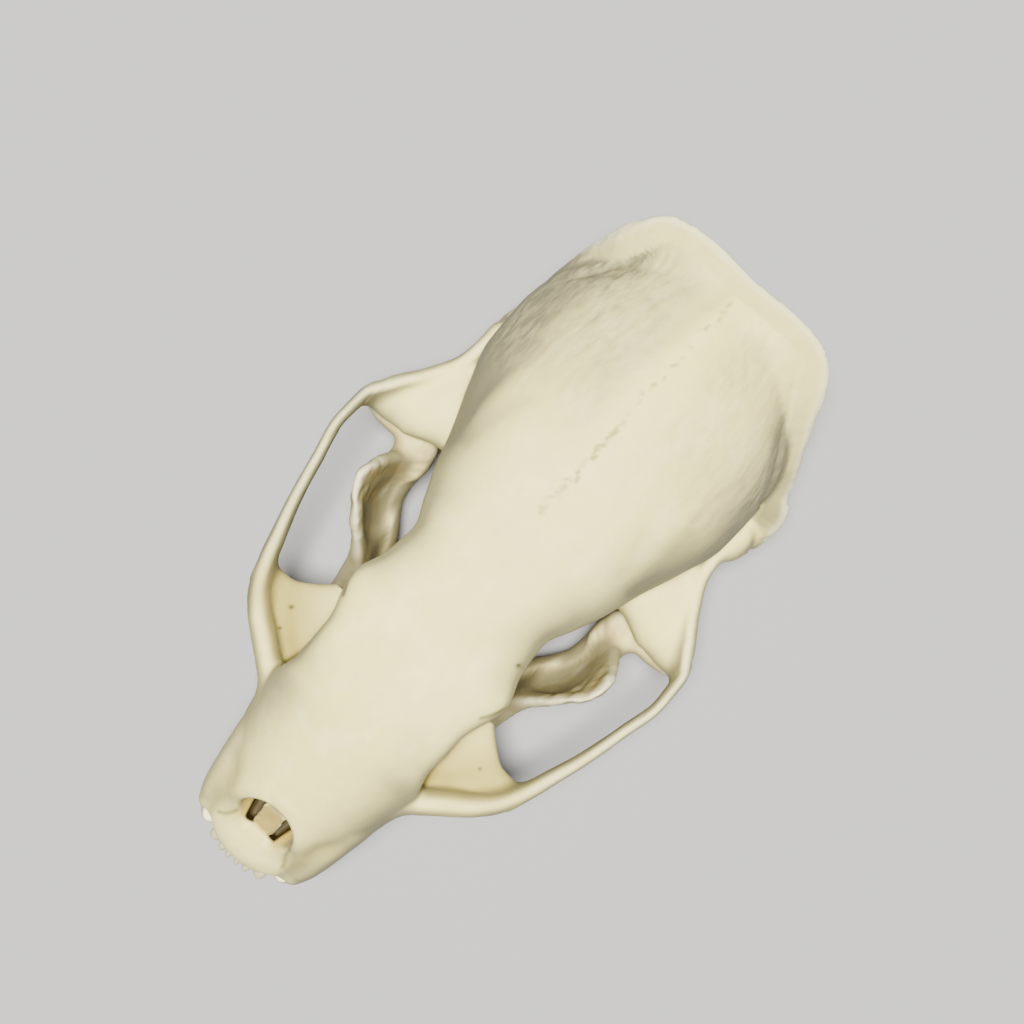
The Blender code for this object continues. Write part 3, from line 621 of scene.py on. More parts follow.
def crest_bead():
    """The uneven rounded rim of the flange."""
    edge, inward = crest_line()
    wander = lumps(edge, 2.2, 31)
    thick = 0.36 + 0.07 * lumps(edge, 1.4, 33)
    centre = edge + inward * (0.48 + 0.16 * wander)[:, None]
    centre[:, 2] += 0.1 * lumps(edge, 1.7, 35)
    return ribbon(np.column_stack([centre, thick, thick]))


def condyle_bar(side, grow, longer):
    rows = spline([(side * x, y, z, r + grow, r + grow) for x, y, z, r in CONDYLE], 12)
    rows[[0, -1], 0] += (-side * longer, side * longer)
    return ribbon(rows)


def cranium_cells():
    cells = Cells((-20, -35, 8.2), (20, 35.2, 32), BONE_CELL)
    curves = (WALL_HALF, WALL_MID, ROOF, BASE, ROOF_SHAPE, BASE_SHAPE)
    cells.apply(loft(-34, 33.2, curves, 14), 0)
    palate = (PALATE_HALF, *map(level, (14.2, 15.8, 12.2, 2.6, 3.4)))
    cells.apply(loft(-25, -9.2, palate, 10.4), 1.2)
    wings = (WING_HALF, *map(level, (15, 18.5, 12.6, 2.4, 3)))
    cells.apply(loft(-12, 7, wings, 5), 1)
    centre, radii, turn = BULLA
    for side in (1, -1):
        cells.apply(wing(side, ORBIT_FLOOR), 1)
        cells.apply(wing(side, JOINT_SHELF), 1.6)
        cells.apply(strand(side, ARCH, 90), 0.9)
        cells.apply(egg((side * 14.2, 8.1, 12.7), (3.2, 1.15, 1.9)), 1.1)
        cells.apply(strand(side, JUGUM, 12), 1.9)
        cells.apply(egg((side * 13.5 + CREST_SKEW(17.9), 17.9, 13.9), (1.7, 2.6, 2.4)), 1.2)
        cells.apply(egg((side * 9.9, 25.4, 14.6), (1.7, 1.4, 2.1)), 1.3)
        cells.apply(egg((side * 3.9, 31.2, 16.4), (2, 1.9, 3), (0, side * 28, 0)), 0.6)
        cells.apply(strand(side, PTERYGOID, 8), 0.6)
        cells.apply(egg((side * centre[0], *centre[1:]), radii, (0, 0, side * turn)), 0.7)
        cells.apply(strand(side, ORBIT_CORNER, 10), 1.2)
    cells.apply(egg((0, 30.2, 21.2), (7.6, 3.7, 6)), 2)
    cells.apply(neck_crest(), 0.6)
    cells.apply(crest_bead(), 0.4)
    nose(cells)
    cells.cut(egg((0, 2, 12), (2.75, 9, 3.3), (0, 0, 3)), 0.5)
    cells.cut(egg((0, 31, 18.4), (3, 9.5, 2.9), (-4, 7, 0)), 0.5)
    cells.cut(egg((0, 18, 22), (9.5, 11, 6)), 1)
    for side in (1, -1):
        cells.cut(strand(side, CHEEK_CANAL, 6), 0.4)
        cells.cut(strand(side, EAR_CANAL, 6), 0.35)
        cells.cut(condyle_bar(side, GAP + 0.05, 0.6), 0.25)
        cells.cut(egg((side * 8, -12.6, 21.6), (1.7, 4.4, 3.3), (0, side * 8, 0)), 0.5)
        for (x, *rest), radii, blend in OPENINGS:
            cells.cut(egg((side * x, *rest), radii), blend)
    return cells


def nose(cells):
    """A slanted face, the rounded bone above the incisors, two passages and the bone between."""
    rise = Vector((0, 6.2, 9.3)).normalized()
    cells.cut(half_space((-12, -36, 8), (12, -23, 34), (0, FACE_Y, FACE_Z), (0, -rise.z, rise.y)), 0.4)
    cells.cut(egg((0.15, -28.5, 19.2), (2.85, 3.1, 1.9), (56, 0, 0)), 0.6)
    low, high, dome = egg((0.05, -30.1, 13.2), (4.35, 3.65, 3.5))
    cells.apply((low, high, lambda c, x, y, z: np.maximum(dome(c, x, y, z), 12.3 - z)), 1.2)
    cells.apply(ribbon([(0.12, -29.6, 15.7, 1.7, 0.85), (0.12, -25.6, 21.8, 1.7, 0.85)]), 0.45)
    for slot in SLOTS:
        cells.cut(brick(*slot), 0.06)
    cells.cut(egg((0.12, -29, 19.5), (0.8, 2.3, 0.9), (57, 0, 0)), 0.2)
    for rim in PLATE_RIMS:
        cells.apply(ribbon(spline([(*p, 0.12, 0.15) for p in rim], 14)), 0.08)


def add(tree, kind, **sockets):
    node = tree.nodes.new(kind)
    fill(node, **sockets)
    return node


def attribute(tree, name):
    node = tree.nodes.new("ShaderNodeAttribute")
    node.attribute_name = name
    return node.outputs["Fac"]


def mix(tree, factor, first, second):
    node = tree.nodes.new("ShaderNodeMix")
    node.data_type = "RGBA"
    for socket, value in ((node.inputs[0], factor), (node.inputs[6], first), (node.inputs[7], second)):
        if isinstance(value, bpy.types.NodeSocket):
            tree.links.new(value, socket)
        else:
            socket.default_value = value
    return node.outputs[2]


def ramp(tree, value, low, high, to_low=0.0, to_high=1.0):
    node = add(tree, "ShaderNodeMapRange", From_Min=low, From_Max=high, To_Min=to_low, To_Max=to_high)
    tree.links.new(value, node.inputs["Value"])
    return node.outputs["Result"]


def noise(tree, scale, detail=3.0, stretch=(1, 1, 1), rough=0.5):
    place = tree.nodes.new("ShaderNodeTexCoord")
    fit = add(tree, "ShaderNodeMapping", Scale=stretch)
    tree.links.new(place.outputs["Object"], fit.inputs["Vector"])
    node = add(tree, "ShaderNodeTexNoise", Scale=scale, Detail=detail, Roughness=rough)
    tree.links.new(fit.outputs["Vector"], node.inputs["Vector"])
    return node.outputs["Fac"]


def bump(tree, height, strength, distance, under=None):
    """The normal of a surface raised by height, on top of the normal under it."""
    node = add(tree, "ShaderNodeBump", Strength=strength, Distance=distance)
    tree.links.new(height, node.inputs["Height"])
    if under:
        tree.links.new(under, node.inputs["Normal"])
    return node.outputs["Normal"]


# painted shade, laid over steep sides, drops and narrow places where light falls off
PAINTED_SHADE_COLOUR = (0.17, 0.158, 0.108, 1)
# brown: a stain on the bone between the nostrils, and painted shade deeper in the nose
STAIN_AND_SHADE_COLOUR = (0.42, 0.3, 0.08, 1)
RIM = (0.8, 0.79, 0.68, 1)
# near black: pits, holes and seams, and painted shade and shadow lines
DARK_MARK_AND_SHADE_COLOUR = (0.036, 0.026, 0.009, 1)


def bone_material(name, base, warm, cool, deep):
    material, tree, shader = shader_nodes(name)
    colour = mix(tree, ramp(tree, noise(tree, 60, 2), 0.38, 0.66), base, warm)
    colour = mix(tree, ramp(tree, noise(tree, 110, 3), 0.50, 0.75, 0, 0.5), colour, cool)
    fine = ramp(tree, noise(tree, 900, 4, rough=0.6), 0.3, 0.7, 0, 0.26)
    colour = mix(tree, fine, colour, (0.60, 0.54, 0.40, 1))
    pale = ramp(tree, noise(tree, 330, 5, (1, 0.6, 1), 0.65), 0.50, 0.68, 0, 0.40)
    colour = mix(tree, pale, colour, (0.92, 0.88, 0.56, 1))
    # painted shade on steep sides and in hollows (deep is the hollows' painted shade colour), brown stain
    # with painted brown shade, paler thin edges
    for layer, tone in (("painted_shade", PAINTED_SHADE_COLOUR), ("hollow", deep), ("stain_and_painted_shade", STAIN_AND_SHADE_COLOUR), ("rim", RIM)):
        colour = mix(tree, attribute(tree, layer), colour, tone)
    # a dark fibre pattern over the rough patch, painted shade standing in for its fine bumps
    fibres = noise(tree, 1100, 4, (1.5, 0.5, 1.5), 0.6)
    scar_and_painted_shade = mix(tree, attribute(tree, "scar_and_painted_shade"), (0, 0, 0, 1), (1, 1, 1, 1))
    dark = mix(tree, ramp(tree, fibres, 0.40, 0.60, 0.55, 0.0), colour, (0.52, 0.47, 0.29, 1))
    colour = mix(tree, scar_and_painted_shade, colour, dark)
    # dark marks and painted shade
    colour = mix(tree, attribute(tree, "dark_marks_and_painted_shade"), colour, DARK_MARK_AND_SHADE_COLOUR)
    tree.links.new(colour, shader.inputs["Base Color"])
    fill(shader, Subsurface_Weight=0.08, Subsurface_Radius=(1.0, 0.7, 0.42), Subsurface_Scale=0.0006)
    tree.links.new(ramp(tree, noise(tree, 300, 3), 0.3, 0.7, 0.58, 0.70), shader.inputs["Roughness"])
    fill(shader, Specular_IOR_Level=0.3)
    grain = bump(tree, noise(tree, 1500, 5, rough=0.65), 0.25, 0.00006)
    pores = bump(tree, noise(tree, 420, 3), 0.35, 0.0001, grain)
    torn = bump(tree, mix(tree, scar_and_painted_shade, (0.5, 0.5, 0.5, 1), fibres), 1.0, 0.0002, pores)
    tree.links.new(torn, shader.inputs["Normal"])
    return material


def enamel_material():
    material, tree, shader = shader_nodes("enamel")
    mottle = ramp(tree, noise(tree, 250, 3), 0.35, 0.7)
    colour = mix(tree, mottle, (0.50, 0.495, 0.45, 1), (0.45, 0.43, 0.35, 1))
    colour = mix(tree, attribute(tree, "neck"), colour, (0.54, 0.46, 0.30, 1))
    tree.links.new(colour, shader.inputs["Base Color"])
    fill(shader, Roughness=0.38, Subsurface_Weight=0.12)
    fill(shader, Subsurface_Radius=(1.0, 0.8, 0.6), Subsurface_Scale=0.0008)
    tree.links.new(bump(tree, noise(tree, 700, 3, (1, 1, 0.25)), 0.2, 0.00004), shader.inputs["Normal"])
    return material


def put(skin, material, slot, *nodes):
    made = skin.make(material)
    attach(made, "root")
    if nodes:
        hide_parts(*nodes)
    return made


def tint(skin, cells):
    """How deep in a hollow and how near a thin edge each point lies, for the bone's colours; the hollows
    and the steep sides get painted shade.
    """
    near = cells.read(cells.crowding(1), skin.points)
    wide = cells.read(cells.crowding(2.6), skin.points)
    # painted shade in the hollows, darker the more bone crowds around a point
    skin.layers["hollow"] = 0.75 * fade(wide, 0.56, 0.86) + 0.25 * fade(near, 0.56, 0.75)
    skin.layers["rim"] = 0.55 * fade(-near, -0.4, -0.2)
    # painted shade on steep sides, stronger the further a surface turns from facing up
    skin.layers["painted_shade"] = 0.72 * fade(-skin.normals()[:, 2], -0.97, -0.35)
    for layer in ("stain_and_painted_shade", "scar_and_painted_shade", "dark_marks_and_painted_shade"):
        skin.layers[layer] = np.zeros(len(skin.points))


def over(n, t, z=30.0):
    """The place in mm of what the photograph shows n pixels right of and t pixels along a line
    that runs up the skull near its middle, at height z."""
    scale = (CAMERA[2] - z) / PIXELS
    return (n - CENTRE[0]) * scale + CAMERA[0], (t - CENTRE[1]) * scale + CAMERA[1]


def seen(line, z=30.0):
    return [over(n, t, z) for n, t in line]


# Relief of the vault: (line of n, t places; width and height in mm); the sunken ones also get painted
# shade.
SWELLS = (
    (((-136, 445), (-138, 480), (-131, 520), (-126, 560)), 0.9, -0.16),
    (((-120, 440), (-123, 480), (-118, 530)), 0.8, 0.1),
    (((-113, 440), (-107, 480), (-97, 510)), 0.7, -0.1),
    (((-152, 480), (-152, 530)), 0.9, 0.12),
    (((115, 440), (118, 480), (121, 520)), 0.9, -0.12),
    (((104, 500), (108, 550), (116, 590)), 0.8, 0.1),
    (((112, 535), (110, 560), (122, 600)), 0.5, -0.08),
    (((92, 445), (84, 490)), 0.8, -0.08),
    (((-6, 590), (-7, 640), (-8, 700)), 1.3, 0.16),
    (((-18, 726), (-24, 700), (-31, 660), (-36, 630)), 0.9, -0.12),
    (((-19, 724), (-23, 705)), 0.45, -0.16),
    (((-90, 455), (-70, 520), (-60, 580)), 1.6, 0.08),
    (((60, 455), (62, 520), (55, 600)), 1.8, 0.07),
    (((30, 300), (55, 330), (70, 360)), 1.5, -0.05),
)
GROOVES = (  # the same, on the muzzle's steep sides
    (((-72, 60), (-65, 38), (-58, 16), (-54, 4)), 0.85, -0.42),
    (((62, 62), (54, 38), (46, 16), (42, 4)), 0.85, -0.42),
)
# The flange on the right and left sides, by Y: how wide its band is before the surface drops, and
# how sharply it drops there, which also sets the painted shade along the drop.
BANDS = (
    (-1, profile((14, 0.5), (21.7, 0.7), (25.1, 1.05), (28.5, 1.9), (31, 2.3)),
     profile((13, 0), (17, 0.9), (30, 0.9), (32, 0.5), (34, 0.05))),
    (1, profile((14, 1.2), (18.3, 1.8), (21.7, 2.5), (25.1, 1.8), (28.5, 2), (31, 2.2)),
     profile((13, 0), (17, 0.7), (27, 0.6), (30, 0.25), (34, 0.05))),
)
SEAMS = (  # line, height
    (((-111, 270), (-108, 256), (-101, 243)), 29),
    (((98, 266), (92, 252), (86, 243)), 29),
    (((-34, 14), (-36.5, 8.2), (-41, 0), (-48, -5.5)), 17),
    (((29.3, 21.4), (30.9, 12.4), (34, 5), (37.7, -2.5)), 17),
)
# broad painted shade: in front of the eye sockets, and where the skull is narrowest
CHEEKS = (((52, 184), (58, 162), (66, 138)), ((-84, 186), (-80, 158), (-74, 122)))
WAIST = (((-92, 290), (-84, 330), (-98, 380)), ((78, 290), (70, 330), (84, 380)))
# painted shadow lines run along these
OVERHANGS = (  # where the forehead's edge stands over the floors of the eye sockets
    ((-98, 156), (-93.5, 170), (-92.5, 185), (-92.5, 202), (-94, 220), (-99, 236), (-103, 247)),
    ((87, 154), (83, 168), (83, 178), (84, 190), (83, 216), (88, 234), (94, 248)),
)
PIT_ROW, PITS_DENSE_TO = (436, 722), 565  # along the vault's middle, as t
# past these, at the side, front and rear, nothing may swell beyond the solids' box
SWELL_LIMITS = (18.2, -33.4, 33.5)
# n, t, height and width
HOLES = ((78, 308, 29, 0.22), (-131, 199, 17, 0.24), (-125, 177, 16.5, 0.16), (118, 205, 17, 0.14))


def vault_relief(skin):
    """Swells, grooves, seams, pits and the rough field behind, pushed into the finished surface, with
    painted shade in the sunken swells, the grooves, the rough field, on the flange's band and the drop
    inside it, and on the rear sides.
    """
    points = skin.points
    x, y, z = points.T
    across, along, up = skin.normals().T
    above = fade(up, 0, 0.35) * fade(z, 17.5, 20)
    lift, painted_dip_shade, dark_marks_and_painted_shade = np.zeros((3, len(points)))
    for line, width, height in SWELLS:
        mark = height * above * stroke(points, seen(line), width)
        lift += mark
        # painted shade in the sunken swells
        painted_dip_shade = np.maximum(painted_dip_shade, -1.8 * mark)
    low_side = fade(z, 13.5, 16) * fade(up, -0.1, 0.2)
    for line, width, height in GROOVES:
        mark = low_side * stroke(points, seen(line, 18), width) * fade(-y, 25, 27.5)
        lift += height * mark
        # painted shade in the grooves
        skin.add("hollow", 0.3 * mark)
    broad = lumps(points, (6, 7, 6), 3) * 0.07
    streaks = lumps(points, (0.6, 1.7, 0.6), 5)
    grains = lumps(points, (0.42, 0.7, 0.42), 8)
    ahead = 1 - fade(along, 0.35, 0.65)
    rough = fade(up, 0.05, 0.4) * fade(z, 17.5, 20) * fade(y, 12, 21) * fade(-y, -33.5, -30)
    rough *= fade(np.abs(x), 1, 3.5) * np.where(x < 0, 1, 0.7)
    rough *= 0.45 + 0.55 * fade(lumps(points, (5, 6, 5), 41), -0.4, 0.4)
    rough *= ahead
    edge, inward = crest_line()
    drop, band = flange_drop(points, edge, inward)
    rough *= (1 - 0.65 * band) * (1 - 0.6 * drop)
    # the rough patch: its bumps, and painted shade of them
    skin.layers["scar_and_painted_shade"] = rough
    lift += broad + 0.018 * streaks + 0.006 * grains
    lift += rough * (0.085 * streaks + 0.065 * grains)
    # painted shade: in the rough patch's dips, on the flange's band and where the surface drops inside it
    painted_vault_shade = rough * (0.12 + 0.15 * fade(-0.45 * streaks - 0.55 * grains, -0.2, 0.5))
    painted_vault_shade = np.maximum(painted_vault_shade, 0.28 * band * fade(up, 0.1, 0.5))
    drop *= fade(z, 16, 18.5) * fade(up, -0.3, 0.1)
    lift -= 0.5 * drop
    painted_vault_shade = np.maximum(painted_vault_shade, 0.95 * drop)
    near_edge = stroke(points, edge, 0.55, False)
    torn = 0.05 + 0.15 * fade(-z, -26, -22)
    lift -= near_edge * (0.08 + torn * fade(lumps(points, 1.3, 51), 0.1, 0.6))
    skin.add("painted_shade", np.maximum(painted_vault_shade, painted_dip_shade))
    # painted shade on the rear of the vault where it turns away sideways, more on the left
    turned = 0.3 * fade(-across, 0, 0.2) + 0.14 * fade(across, 0.02, 0.25)
    skin.add("painted_shade", turned * (fade(y, 9, 22) * above * (1 - band) * ahead))
    skin.at_least("stain_and_painted_shade", 0.16 * stroke(points, seen(((8, 715), (24, 668))), 1.8) * above)
    dice = np.random.default_rng(11)
    t, last = PIT_ROW
    while t < last:
        place = over(-9 + dice.normal(0, 2.6), t)
        size = dice.uniform(0.1, 0.2)
        end = place[0] + dice.normal(0, 0.15), place[1] + dice.uniform(0.05, 0.5)
        mark = above * stroke(points, (place, end), size)
        lift -= mark * dice.uniform(0.04, 0.1)
        dark_marks_and_painted_shade = np.maximum(dark_marks_and_painted_shade, mark * dice.uniform(0.15, 0.75 if 480 < t < 545 else 0.5))
        t += dice.uniform(1.5, 7) if t < PITS_DENSE_TO else dice.uniform(6, 18)
    for line, width, lowest, depth, dark in scratches():
        mark = stroke(points, line, width) * fade(up, 0, 0.3) * fade(z, lowest, lowest + 1)
        lift -= depth * mark
        dark_marks_and_painted_shade = np.maximum(dark_marks_and_painted_shade, dark * mark)
    skin.at_least("dark_marks_and_painted_shade", dark_marks_and_painted_shade)
    side, front, rear = SWELL_LIMITS
    lift = np.where((np.abs(x) > side) | (y < front), np.minimum(lift, -0.02), lift)
    lift = np.where(y > rear, np.minimum(lift, -0.06), lift)
    skin.push(lift)


def scratches():
    """Small holes and seams: line, width, lowest Z, depth and how dark."""
    for n, t, height, size in HOLES:
        x, y = over(n, t, height)
        yield ((x, y), (x + 0.05, y + 0.05)), size, height - 4, 0.10, 0.9
    for line, height in SEAMS:
        yield seen(line, height), 0.19, height - 5, 0.12, 0.6


def flange_drop(points, edge, inward):
    """1 just inside the flange's rear band, where the surface drops, fading out towards the middle,
    and 1 on the band itself."""
    reach = unit(inward[:, :2])
    drop, flat = np.zeros((2, len(points)))
    rear = np.flatnonzero((points[:, 1] > 11) & (points[:, 2] > 14))
    offset = points[rear, None, :2] - edge[None, :, :2]
    near = (offset ** 2).sum(2).argmin(1)
    inside = (offset[np.arange(len(rear)), near] * reach[near]).sum(1)
    x, y, z = edge[near].T
    above = points[rear, 2] - z
    ahead = fade(points[rear, 1], 13.5, 18)
    for side, band, strength in BANDS:
        past = inside - band(y)
        mark = fade(past, -0.05, 0.3) * np.exp(-np.maximum(past - 0.3, 0) / 0.9)
        mark *= ahead * fade(above, -3.5, -1.5) * fade(-above, -5.5, -3)
        drop[rear] += mark * strength(y) * fade(side * x, 1.5, 5)
        flat[rear] += (side * x > 0) * ahead * fade(-past, 0, 0.25) * fade(-np.abs(above), -2.6, -1.6)
    return drop, flat


def nose_stain_and_shade(skin):
    """Brown on the bone between the nostrils, painted brown shade deeper in them and painted dark shade
    on the floors of the passages; yellow-brown painted shade in the floors of the eye sockets, and
    painted shadow lines under the forehead's edge.
    """
    points = skin.points
    x, y, z = points.T
    up = skin.normals()[:, 2]
    depth = (y - FACE_Y) * 0.832 - (z - FACE_Z) * 0.555  # under the slanted face
    inner = fade(-y, 23, 26) * fade(-np.abs(x), -3.6, -2.9) * fade(z, 12.8, 14)
    inner *= fade(-z, -(ROOF(y) - 0.5), -(ROOF(y) - 1.4))
    # painted brown shade, darker deeper under the slanted face and beside the passages
    left = stroke(points, ((-1.8, -29.6), (-2.1, -28.6)), 0.75)
    right = stroke(points, ((2, -29.8), (2.2, -28.8)), 0.6)
    painted_brown_shade = 0.85 * fade(depth, 0.4, 2.2) + 0.75 * (left + right)
    skin.layers["rim"] *= 1 - fade(-y, 25.5, 27) * fade(-np.abs(x), -4, -3.2) * fade(-z, -21, -19.5)
    beside = np.abs(x - 0.12)
    plate = 0.8 * inner * fade(-beside, -1.05, -0.8) * fade(z, 16.6, 17.6)
    skin.layers["stain_and_painted_shade"] = np.maximum(plate, np.clip(inner * painted_brown_shade, 0, 1) * fade(beside, 0.7, 1.1))
    # painted dark shade on the floors of the nasal passages, which the lamp would otherwise light
    near = np.min([brick(*slot)[2](None, x, y, z) for slot in SLOTS], axis=0)
    dark = fade(-near, -0.16, -0.04) * fade(depth, 0.35, 0.8)
    skin.at_least("dark_marks_and_painted_shade", dark * (0.64 + 0.36 * fade(up, 0.3, 0.8)))
    # painted yellow-brown shade in the floors of the eye sockets, with more painted dark shade on the
    # left
    floor = sum(stroke(points, ((side * 9.3, -14.5), (side * 11.5, -13)), 3.6) for side in (1, -1))
    floor *= fade(-z, -20.5, -17.5) * fade(up, 0.1, 0.5)
    skin.add("hollow", 0.9 * floor)
    skin.at_least("dark_marks_and_painted_shade", np.where(x < 0, 0.13, 0.02) * np.clip(floor, 0, 1))
    # painted shadow line under the forehead's edge
    for line in OVERHANGS:
        edge = stroke(points, seen(line, 18), 0.24) * fade(-z, -23.5, -21)
        skin.at_least("dark_marks_and_painted_shade", 0.75 * edge)


def cranium(material):
    cells = cranium_cells()
    skin = cells.mesh("cranium_bone", 3)
    x, y, z = skin.points.T
    dome = fade(-y, 29.85, 30.3) * fade(z, 12.9, 13.6) * fade(-np.abs(x), -4.2, -3.4)
    skin.relax(24, 0.5 * dome[:, None])
    tint(skin, cells)
    # less painted shade on the rounded bone above the incisors
    front = fade(-y, 29, 30.4) * fade(z, 12.6, 13.6) * fade(-np.abs(x), -4.6, -3.4)
    skin.layers["painted_shade"] *= 1 - 0.8 * front
    # painted shade stronger on the braincase's steep sides, most on the left, and on the muzzle's right
    # side
    behind = fade(skin.normals()[:, 1], 0.25, 0.6)
    uneven = (0.3 + 0.65 * fade(-x, -1, 3)) * (1 - behind)
    steep = 1 + uneven * fade(y, 3, 12) * fade(z, 15, 18) + 0.35 * fade(-y, 18, 22) * fade(x, 2, 4)
    skin.layers["painted_shade"] *= steep
    # painted shade on the cheek arches, more on the left
    arch = fade(np.abs(x), 12.5, 14) * fade(-y, -7, -4) * fade(z, 15, 16.5)
    skin.add("painted_shade", np.where(x < 0, 0.3, 0.18) * arch)
    skin.layers["rim"] *= 1 - 0.6 * arch
    nose_stain_and_shade(skin)
    vault_relief(skin)
    points, upward = skin.points, fade(skin.normals()[:, 2], 0.25, 0.65)
    # painted broad shade where the skull is narrowest and in front of the eye sockets
    for line in WAIST:
        skin.add("painted_shade", 0.36 * upward * stroke(points, seen(line), 2) * fade(points[:, 2], 24, 26))
    for line in CHEEKS:
        skin.add("painted_shade", 0.2 * stroke(points, seen(line, 23), 1.7) * fade(points[:, 2], 19, 21))
    return put(
        skin, material, "braincase_bone", "muzzle", "midface", "braincase",
        "cheek_arch_left", "cheek_arch_right", "ear_bulla_left", "ear_bulla_right",
    )


def crown(root, tip, radii, bend=(0, 0, 0), power_y=1.2, power_x=1.6, blunt=0.12):
    """A tapering crown; radii are (along Y, across X), bend bows its middle."""
    root, tip, bend = (np.array(p, float) for p in (root, tip, bend))
    rows = []
    for t in np.linspace(0, 1, 14):
        centre = root + (tip - root) * t + bend * 4 * t * (1 - t)
        across = radii[1] * (1 - (1 - blunt) * t ** power_x)
        along = radii[0] * (1 - (1 - blunt) * t ** power_y)
        rows.append((*centre, across, along))
    return ribbon(rows, (0, 1, 0))


ROOT_Z = 13.6
UPPER_GUM, LOWER_GUM = 12.4, 7.2
UPPER_INCISORS = (  # (x, y), half length, half width
    ((0.53, -34.03), 0.4, 0.3), ((1.53, -33.85), 0.48, 0.38), ((2.78, -33.35), 0.66, 0.6),
)
INCISOR = ((1.3, 13.4, 0.8), (0.35, 12.9, 0.95), (0, 12.2, 1), (0.05, 11.5, 0.95))  # y, z, size
UPPER_CUSPS = (  # (x, y), tip, (half length, half width)
    ((5.8, -26.9), (5.9, -27.2, 10.2), (1.4, 0.8)),
    ((6.7, -23.4), (6.8, -23.7, 9.3), (1.75, 0.95)),
    ((8.8, -18.6), (9.0, -18.6, 8.2), (1.8, 0.95)),
    ((9.3, -15.9), (9.5, -15.3, 9.5), (1.6, 0.8)),
    ((7.2, -20.0), (7.1, -20.0, 10.5), (0.9, 0.95)),
    ((9.1, -12.3), (9.2, -12.3, 10.4), (1.3, 1.15)),
    ((6.6, -12.2), (6.4, -12.2, 10.7), (1.6, 1.4)),
)


def finish_teeth(cells, name, material, slot, gum, down):
    skin = cells.mesh(name, 1)
    skin.push(0.012 * lumps(skin.points, (0.5, 0.5, 1.4), 4))
    height = (gum - skin.points[:, 2]) * down
    skin.layers["neck"] = 0.7 * fade(-height, -0.5, 0.5)
    return put(skin, material, slot)


def upper_teeth(side, word, material):
    low, high = sorted((side * 0.02, side * 12))
    cells = Cells((low, -35, 4), (high, -9.6, 14.2), TOOTH_CELL)
    for n, ((x, y), along, across) in enumerate(UPPER_INCISORS, 1):
        tip = UPPER_GUM - 1.6 - 0.3 * n
        x = side * x + (0.11 * x if side < 0 else 0)
        rows = [(x, y + dy, z, across * s, along * s) for dy, z, s in (*INCISOR, (0.2, tip, 0.5))]
        cells.apply(ribbon(spline(rows, 14), (0, 1, 0)), 0.05)
    root = (4.4, -31.2, ROOT_Z) if side > 0 else (-4.1, -31.5, ROOT_Z)
    cells.apply(crown(root, (side * 5.2, -31.5, 4.6), (1.45, 1), (side * 0.15, -0.45, 0)), 0.1)
    cells.apply(egg((side * 8.9, -17.5, 12), (0.95, 3.4, 1.5)), 0.2)
    cells.apply(egg((side * 7.9, -12.2, 12), (2.3, 1.35, 1)), 0.2)
    for (x, y), tip, radii in UPPER_CUSPS:
        cells.apply(crown((side * x, y, ROOT_Z), (side * tip[0], *tip[1:]), radii), 0.35)
        cells.apply(egg((side * x, y, 12.2), (radii[1] * 1.08, radii[0] * 1.1, 0.7)), 0.3)
    return finish_teeth(cells, f"upper_teeth_{word}", material, "face_bone", UPPER_GUM, 1)


JAW_FRONT, JAW_REAR = -32.9, 8.3
JAW_TOP = profile(
    (-32.9, 6.8), (-30, 8), (-25, 7.6), (-18, 6.8), (-12, 6.8), (-9.6, 7.6), (-8, 11),
    (-6, 16.2), (-4, 19.8), (-2.2, 21.4), (-0.4, 21.9), (0.7, 21.4), (1.7, 19.4), (2.7, 16),
    (3.5, 13.2), (4.4, 11.2), (5.2, 8), (6, 5), (7.2, 3.7), (8.3, 2.6),
)
JAW_BOTTOM = profile(
    (-32.9, 4.6), (-31.2, 2.8), (-28, 1.1), (-24.5, 0.1), (-22, -0.15), (-13, -0.15), (-8, 0.5),
    (-3, 1.5), (1, 1.6), (3.6, 0.8), (5.2, -0.1), (6.6, -0.15), (7.5, 0.2), (8.3, 1.2),
)
JAW_X = profile(
    (-32.9, 1.4), (-31, 2), (-28, 2.6), (-25, 3.9), (-22, 5.2), (-18, 6.6), (-14, 7.6),
    (-10, 8.4), (-6, 8.9), (-5, 9.1), (-3.2, 9.8), (-1.3, 11), (0, 11.5), (1.5, 11.7),
    (4, 11.6), (8.3, 11.3),
)
JAW_HALF = profile(
    (-32.9, 1.1), (-31, 1.8), (-28, 2.15), (-25, 2.05), (-21, 1.9), (-16, 1.85), (-9, 1.6),
    (-6, 1.15), (-2, 0.95), (3, 0.9), (8.3, 0.7),
)
JAW_LEAN = profile(
    (-32.9, 0), (-20, 0), (-10, 0.04), (-6, 0.07), (-4.5, 0.105), (-2, 0.127), (1, 0.115), (8.3, 0.1)
)
JAW_INNER = (  # the swelling along the inner face, up to the joint
    (8, -8, 4.2, 0.9, 1.6), (8.9, -4, 4.4, 0.8, 1.9), (10.1, -1.8, 5, 0.7, 2.2),
    (11.2, 0, 6, 0.7, 2.4), (11.4, 2, 7.6, 0.7, 2.4), (11.2, 3.7, 9.2, 0.75, 2),
    (11.8, 4.8, 10.6, 0.9, 1.2),
)
JAW_NECK = ((12.9, 2.4, 11.4, 0.9, 2), (13.3, 3.9, 11.4, 1, 1.5), (13.6, 5.2, 11.4, 1.1, 1.2))
LOWER_CUSPS = (  # (x, y), top, (half length, half width)
    ((4.0, -27.6), 9.2, (1.1, 0.7)), ((4.8, -24.7), 9.8, (1.45, 0.8)), ((5.6, -21.4), 10.4, (1.75, 0.85)),
    ((6.6, -18.0), 10.6, (1.6, 0.85)), ((7.1, -15.6), 10.9, (1.6, 0.9)), ((7.6, -13.3), 8.7, (1.3, 0.95)),
    ((8.1, -11.0), 8.6, (1.0, 0.85)),
)


